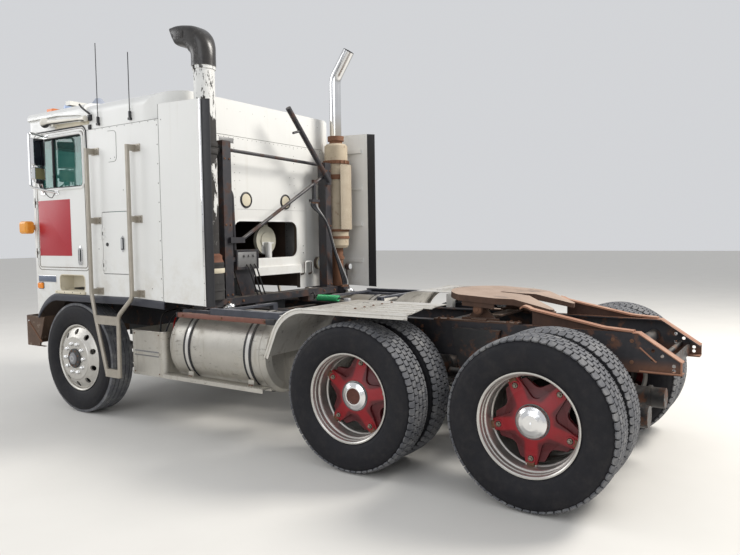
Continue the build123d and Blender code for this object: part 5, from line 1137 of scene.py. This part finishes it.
screen = on_back(frame_line((55, 1060), (1965, 2640), 60), CAB_FRONT)
waist = on_back([(0, 1760), (1090, 1760)], CAB_FRONT)
wiper_arm = bent([(360, -700, 1915), (372, -722, 1935), (640, -716, 2130)], 20)
wiper_blade = bent([(450, -706, 2290), (640, -712, 2130), (826, -706, 1985)], 60)
LAMP_FACE, GRILLE_FACE = wall("y", -701, -1), wall("y", -668, -1)
both("front_trim", "cab", [RUBBER, LENS, SEAM, PLATE_GREY], [
    [swept(screen, [(-16, -4), (14, -4), (14, 4), (8, 8), (-10, 8), (-16, 3)], AHEAD, True),
     tube(wiper_arm, 6, 8), tube(wiper_blade, 7, 8),
     block((340, 382), (-712, CAB_FRONT), (1896, 1930), 5)],
    [slab(frame_line((x, x + 190), (1050, 1195), 14), 7, 3, LAMP_FACE) for x in (620, 830)],
    [swept(waist, BEAD, AHEAD),
     rivets(at(range(60, 1090, 86), CAB_FRONT, 1776), AHEAD, 4, 2),
     rivets(at(range(60, 1090, 147), CAB_FRONT, 940), AHEAD, 5, 2)],
    slab([(10, 1056), (444, 1056), (444, 1664), (10, 1664)], 3, 0.5, GRILLE_FACE)])


# Fuel tanks, battery boxes and fenders

def tank_ring(y, width, out, lift=0.5):
    """A band round the tank, its section turned about the tank's own line."""
    low, high, end = TANK_R + lift, TANK_R + lift + out, y + width
    section = [(y, low), (y, high - 1), (y + 1, high), (end - 1, high), (end, high - 1), (end, low)]
    return turned(section, (TANK_X, 0, TANK_Z), Y_AXIS, 80, True)


filler, cap_axis = np.array((TANK_X + 76, 1790, TANK_Z + 356), float), (16, 0, 66)
tooth = block((-46, 46), (-5, 5), (0, 5), 2)
beads = ((TANK_Y[0] + 62, 7, 3.5), (TANK_Y[0] + 84, 5, 2), (TANK_Y[1] - 70, 7, 3.5))
both("tank_trim", "chassis", [RUBBER, ALLOY, CHROME, CREAM_PAINT, RUSTY_NUT], [
    [tank_ring(y + dy, 20, 8) for dy in (-9, STRAP_WIDTH - 11) for y in STRAP_Y],
    [*[tank_ring(*bead, 0) for bead in beads],
     copies(tooth, at(STEP_X, np.arange(1268, 2400, 28.6), STEP_TOP))],
    turned([(-6, 52), (8, 52), (14, 47), (16, 30), (20, 28), (22, 0)], filler, cap_axis, 28),
    [block((944, 984), (y + 8, y + 44), (1012, 1062), 6) for y in STRAP_Y],
    [*[bolts(at(STEP_X, (y + 18, y + 44), STEP_TOP), Z_AXIS, 9, 9) for y in STRAP_Y],
     *[bolts([(984, y + 26, 1037)], X_AXIS, 9, 12) for y in STRAP_Y]]])

box_plan, box_lid, box_foot = corners(510, 455, 50, 6, (895, 1007.5)), 865.0, 478.0
lip, hem = [np.column_stack([box_plan, np.full(len(box_plan), z)]) for z in (box_lid, box_foot)]
cables = ([(900, 900, 738), (905, 900, 850), (850, 880, 980), (640, 860, 1010), (440, 850, 980)],
          [(980, 1080, 738), (990, 1085, 860), (860, 1090, 1010), (620, 1080, 1030), (440, 1060, 1000)],
          [(860, 1020, 738), (862, 1025, 840), (800, 1010, 960), (600, 990, 1000), (440, 980, 960)])
both("battery_trim", "chassis", [ALLOY, PLATE_GREY, RUSTY_NUT, RUBBER, RED_LENS], [
    [tube(lip, 6, 8, True), swept(hem, [(0, -8), (5, -8), (5, 8), (0, 8)], Z_AXIS, True)],
    slab(frame_line((842, 1168), (640, 690), 6), 3, 1, wall("x", 1150)),
    rivets(at(1152, (842, 1172), (492, 838)), X_AXIS, 7, 3),
    [tube(curve(cable), 8, 8) for cable in cables[:2]],
    tube(curve(cables[2]), 7, 8)])

fender_line = bent(on_side([(2482, 772), (2652, 1160), (3742, 1160)], 1214), 330, 16)
both("fender_trim", "chassis", [PALE_ALLOY, RUSTY_NUT], [
    tube(fender_line, 9, 10),
    bolts(at((560, 700, 820, 940, 1060), 3220, 1166), Z_AXIS, 8, 7)])


# Frame, rack and rear end

both("deck_bars", "chassis", [BAR_RED, RUBBER, RUSTY_NUT], [
    [block((1150, 1190), (1470, 2540), (1021, 1061), 5),
     *[block((1098, 1152), (y, y + 36), (1034, 1058), 3) for y in (1520, 1980, 2440)]],
    [block((1147, 1193), ends, (1018, 1064), 5) for ends in ((1455, 1478), (2470, 2566))],
    bolts(at(1190, (1538, 1998, 2458), 1041), X_AXIS, 9, 8)])
tail_strips = (([(4985, 1036), (5021, 1036), (5287, 861)], [(0, -62), (0, 11), (6, 11), (6, -62)]),
               ([(5030, 783), (5285, 783)], [(-8, -2), (0, -2), (0, 12), (-8, 12)]),
               ([(5275, 780), (5275, 866)], [(0, -2), (10, -2), (10, 10), (0, 10)]),
               ([(5030, 942), (5132, 852)], [(-4, -2), (4, -2), (4, 9), (-4, 9)]))
both("tail_caps", "chassis", RAMP, [strip(*line, x=RAIL_FACE) for line in tail_strips])
both("bumper_stays", "chassis", [RUSTY_NUT, CHROME], [
    tube([(1191, -812, 853), (1191, -586, 650)], 8, 8),
    rivets([(1190, -815, 856)], X_AXIS, 11, 8)])

rail_bolts = [*at(RAIL_FACE, (-480, 1745, 2730, 3420, 4330), (830, 870, 940, 980)),
              *at(RAIL_FACE, (3740, 3800, 3980, 4040), (820, 900, 960)),
              *at(RAIL_FACE, range(140, 1260, 224), 1000), *at(RAIL_FACE, (4860, 4980), (840, 980))]
both("frame_bolts", "chassis", RUSTY_NUT, [
    [bolts(rail_bolts, X_AXIS, 11, 9),
     bolts(at((352, 418), (3560, 3640, 4120, 4180), 1047), Z_AXIS, 11, 10),
     bolts(at(560, -905, (700, 820)), AHEAD, 12, 9)]])
piece("rear_marker", "chassis", [RED_LENS, PLATE_GREY], [
    slab(frame_line((5124, 5162), (741, 869), 8), 14, 5, wall("x", -446, -1)),
    block((-448, -432), (5116, 5170), (733, 877), 4)])
rack_cables = [[(x, 1606, 1440), (x, 1640, 1400), (x - 30, 1650, 1300), (x - 90, 1640, 1180),
                (x - 110, 1640, 1150)] for x in (380, 430, 480)]
stay_bolts = at((707, 763, -763, -707), 1645, (1180, 1800, 2380))
piece("rack_trim", "chassis", [LENS, RUSTY_NUT, PLATE_GREY, RUBBER], [
    turned([(0, 33), (5, 31), (9, 20), (10, 0)], (-1076, 1674, 1352), Y_AXIS, 28),
    [bolts(at((-1000, -780, -600, 600, 780, 1000), 1672, 1118), Y_AXIS, 10, 9),
     bolts(stay_bolts, Y_AXIS, 8, 8)],
    [slab(frame_line((346, 588), (1418, 1554), 6), 3, 1, wall("y", 1604)),
     *[turned([(0, 13), (14, 11), (16, 0)], (x, 1606, 1520), Y_AXIS, 16) for x in (390, 450, 510)]],
    [tube(curve(cable), 7, 8) for cable in rack_cables]])


# Air hoses behind the cab, in place of their plain solids

def hose(points, radius):
    """A hose along a smooth line through its route's points."""
    return tube(curve(points, 12), radius, 12)


routes = []
for k in range(4):
    x, sag, end_x = -400 - 26 * k, 14 * k, -866 - 26 * k
    routes.append([(x, 1692, 2040), (x, 1692, 1990), (-590 - sag, 1706, 1850 - sag),
                   (-715 - sag, 1716, 1560 - sag), (end_x, 1718, 1220), (end_x, 1718, 1140)])
upper_fitting, lower_fitting = [(-16, 14), (14, 14), (16, 11), (16, 0)], [(0, 14), (22, 14), (24, 11)]
coil_x, coil_z = -388, 1067.3
coil = helix((coil_x, 1750, coil_z), (coil_x, 2015, coil_z), 25, 15)
lead_in = curve([(coil_x, 1714, coil_z + 20), (coil_x, 1700, coil_z + 42), (coil_x, 1670, coil_z + 42)])
lead_out = curve([coil[-1], (coil_x + 6, 2060, coil_z), (coil_x + 20, 2110, coil_z - 14)])
made = piece("air_lines", "chassis", [HOSE, RUSTY_NUT, GREEN_HOSE, GREY_CAP], [
    [*[hose(route, 10) for route in routes[:3]], tube(np.vstack([lead_in[::-1], coil[:1]]), 7, 10),
     tube(lead_out, 7, 10)],
    [*[turned(upper_fitting, route[0], Z_AXIS, 6) for route in routes],
     *[turned(lower_fitting, route[-1], Z_AXIS, 6) for route in routes]],
    tube(coil, 7, 10),
    [hose(routes[3], 9), block((coil_x - 5, coil_x + 40), (2100, 2160), (1036, 1077), 5)]])
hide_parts("air_hoses")


# Intake stack: canister, pipe and hood, in place of its plain solid

def hood_ring(y, z, tilt, half_width, half_height, power, sides=40):
    """A rounded section of the hood: an ellipse whose powers square it up, tilted from level to upright."""
    t = np.linspace(0, 2 * np.pi, sides, endpoint=False)
    u, v = [half * np.sign(wave) * np.abs(wave) ** (2 / power)
            for half, wave in ((half_width, np.cos(t)), (half_height, np.sin(t)))]
    a = radians(tilt)
    return np.stack([INTAKE_X + u, y + v * cos(a), z + v * sin(a)], 1).ravel()


def hood_skin(wall_depth=7, steps=5):
    """The hood as one skin: rings up the neck and forward to the slanted mouth, then back inside it."""
    rings = [(1600, 3150, 0, 104, 104, 2), (1600, 3235, 0, 104, 104, 2), (1592, 3290, 18, 107, 105, 2.3),
             (1570, 3335, 40, 111, 106, 2.8), (1528, 3378, 65, 115, 100, 3.4), (1465, 3400, 82, 118, 92, 4.2),
             (1400, 3411, 100, 120, 90, 5), (1345, 3411, 117, 121, 93, 5)]
    lining = [(y, z, tilt, a - wall_depth, b - wall_depth, n) for y, z, tilt, a, b, n in rings[:3:-1]]
    grid = np.vstack([curve([hood_ring(*ring) for ring in side], steps) for side in (rings, lining)])
    grid = grid.reshape(len(grid), -1, 3)
    pts, faces = skin(grid, False, True)
    return pts, faces + [np.arange(len(pts) - grid.shape[1], len(pts))[None]]


def intake():
    """The canister with its latched band, the flaking pipe with two clamps, and the hood on its collar."""
    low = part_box("intake_stack")[0].z / MM
    centre = (INTAKE_X, STACK_Y, 0)
    canister = [(low, 0), (low, 116), (low + 9, 125), (1228, 125), (1231, 130), (1243, 130), (1246, 125),
                (1384, 125), (1384, 129), (1388, 131), (1422, 131), (1426, 129), (1426, 125), (1476, 125),
                (1482, 122), (1505, 112), (1535, 112), (1551, 91), (1551, 90)]
    pipe = [(1551, 90), (3110, 90), (3112, 98), (3134, 98), (3138, 104), (3160, 104)]
    clamps = [[(z, 89), (z, 98), (z + 3, 99.5), (z + 37, 99.5), (z + 40, 98), (z + 40, 89)]
              for z in (2400, 2462)]
    bands = [[(z, 125), (z, 127.5), (z + 16, 127.5), (z + 16, 125)] for z in (1290, 1452)]
    lugs = [block((INTAKE_X + 60, INTAKE_X + 74), (1516, 1530), (z - 12, z + 14), 4)
            for z in (1405, 2420, 2482)]
    screws = [tube([(INTAKE_X + 52, 1512, z), (INTAKE_X + 84, 1530, z)], 6, 8)
              for z in (2412, 2430, 2474, 2492)]
    tie = block((785, INTAKE_X - 60), (STACK_Y - 20, STACK_Y + 20), (2430, 2470), 3)
    badge = half_round([(1484, 3380), (1490, 3452), (1330, 3470), (1352, 3366), (1484, 3380)], 3)[:-1]
    plates = [slab(badge, 3, 1, wall("x", INTAKE_X + side * 117.5, side)) for side in (1, -1)]
    return joined(turned(canister, centre, Z_AXIS, 72), turned(pipe, centre, Z_AXIS, 72),
                  *[turned(ring, centre, Z_AXIS, 64) for ring in clamps + bands], *lugs, *screws, tie,
                  hood_skin(), *plates)


made = piece("intake_pipe", "chassis", INTAKE_PAINT, intake(), 35)
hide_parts("intake_stack")


# Fifth wheel

pin_end = turned([(0, 34), (6, 34), (9, 30), (9, 14), (14, 12), (14, 0)], (430, COUPLING_Y, 1130), X_AXIS, 28)
both("coupling_trim", "fifth_wheel", RUSTY_NUT, [
    [pin_end, bolts(at(430, (COUPLING_Y - 22, COUPLING_Y + 22), 1180), X_AXIS, 8, 8)]])


# Camera, light and floor

def camera():
    """The photograph's own viewpoint: behind the truck's left rear corner, at a standing person's height."""
    yaw, pitch, roll, eye = 0.5856, 0.0621, -0.0133, (4.983, 3.7634, 1.6867)
    ahead = np.array([-cos(yaw) * cos(pitch), -sin(yaw) * cos(pitch), -sin(pitch)])
    right = unit(np.cross(ahead, Z_AXIS))
    up = np.cross(right, ahead)
    right, up = cos(roll) * right + sin(roll) * up, cos(roll) * up - sin(roll) * right
    data = bpy.data.cameras.new("camera")
    data.sensor_width, data.lens = 36, 32.53
    obj = add("camera", data)
    turn = Matrix(np.column_stack([right, up, -ahead]).tolist())
    obj.matrix_world = Matrix.Translation(eye) @ turn.to_4x4()
    bpy.context.scene.camera = obj


def lamp(name, place, aim, size, power, tint=(1, 1, 1)):
    """A soft square light that faces a point."""
    data = bpy.data.lights.new(name, "AREA")
    data.shape, data.size, data.energy, data.color = "SQUARE", size, power, tint
    obj = add(name, data)
    obj.location = place
    obj.rotation_euler = (Vector(aim) - Vector(place)).to_track_quat("-Z", "Y").to_euler()


def studio():
    """A pale floor and sky, a high key light from the rear right, weaker ones from the left and the front."""
    sky, sky_strength, half = (0.94, 0.955, 0.985, 1), 1.05, 60
    world = bpy.data.worlds.new("studio")
    world.use_nodes = True
    background = world.node_tree.nodes["Background"].inputs
    background[0].default_value, background[1].default_value = sky, sky_strength
    bpy.context.scene.world = world
    floor = bpy.data.meshes.new("floor")
    square = [(x * half, y * half, 0) for x, y in ((-1, -1), (1, -1), (1, 1), (-1, 1))]
    floor.from_pydata(square, [], [(0, 1, 2, 3)])
    f = Finish("floor", roughness=0.9)
    f.base = f.cloud((0.66, 0.645, 0.61), (0.72, 0.705, 0.67), 1.5, 5)
    floor.materials.append(f.close())
    add("floor", floor)
    lamp("key", (-5.5, 7.5, 9.0), (0, 0.3, 1.2), 4.0, 2200, (1.0, 0.96, 0.90))
    lamp("fill", (9.0, 1.5, 5.0), (0, 0, 1.4), 6.0, 300, (0.95, 0.97, 1.0))
    lamp("front", (4.0, -9.0, 5.0), (0, 0, 1.6), 5.0, 350)
    view = bpy.context.scene.view_settings
    view.view_transform, view.exposure = "Standard", -0.6


camera()
studio()
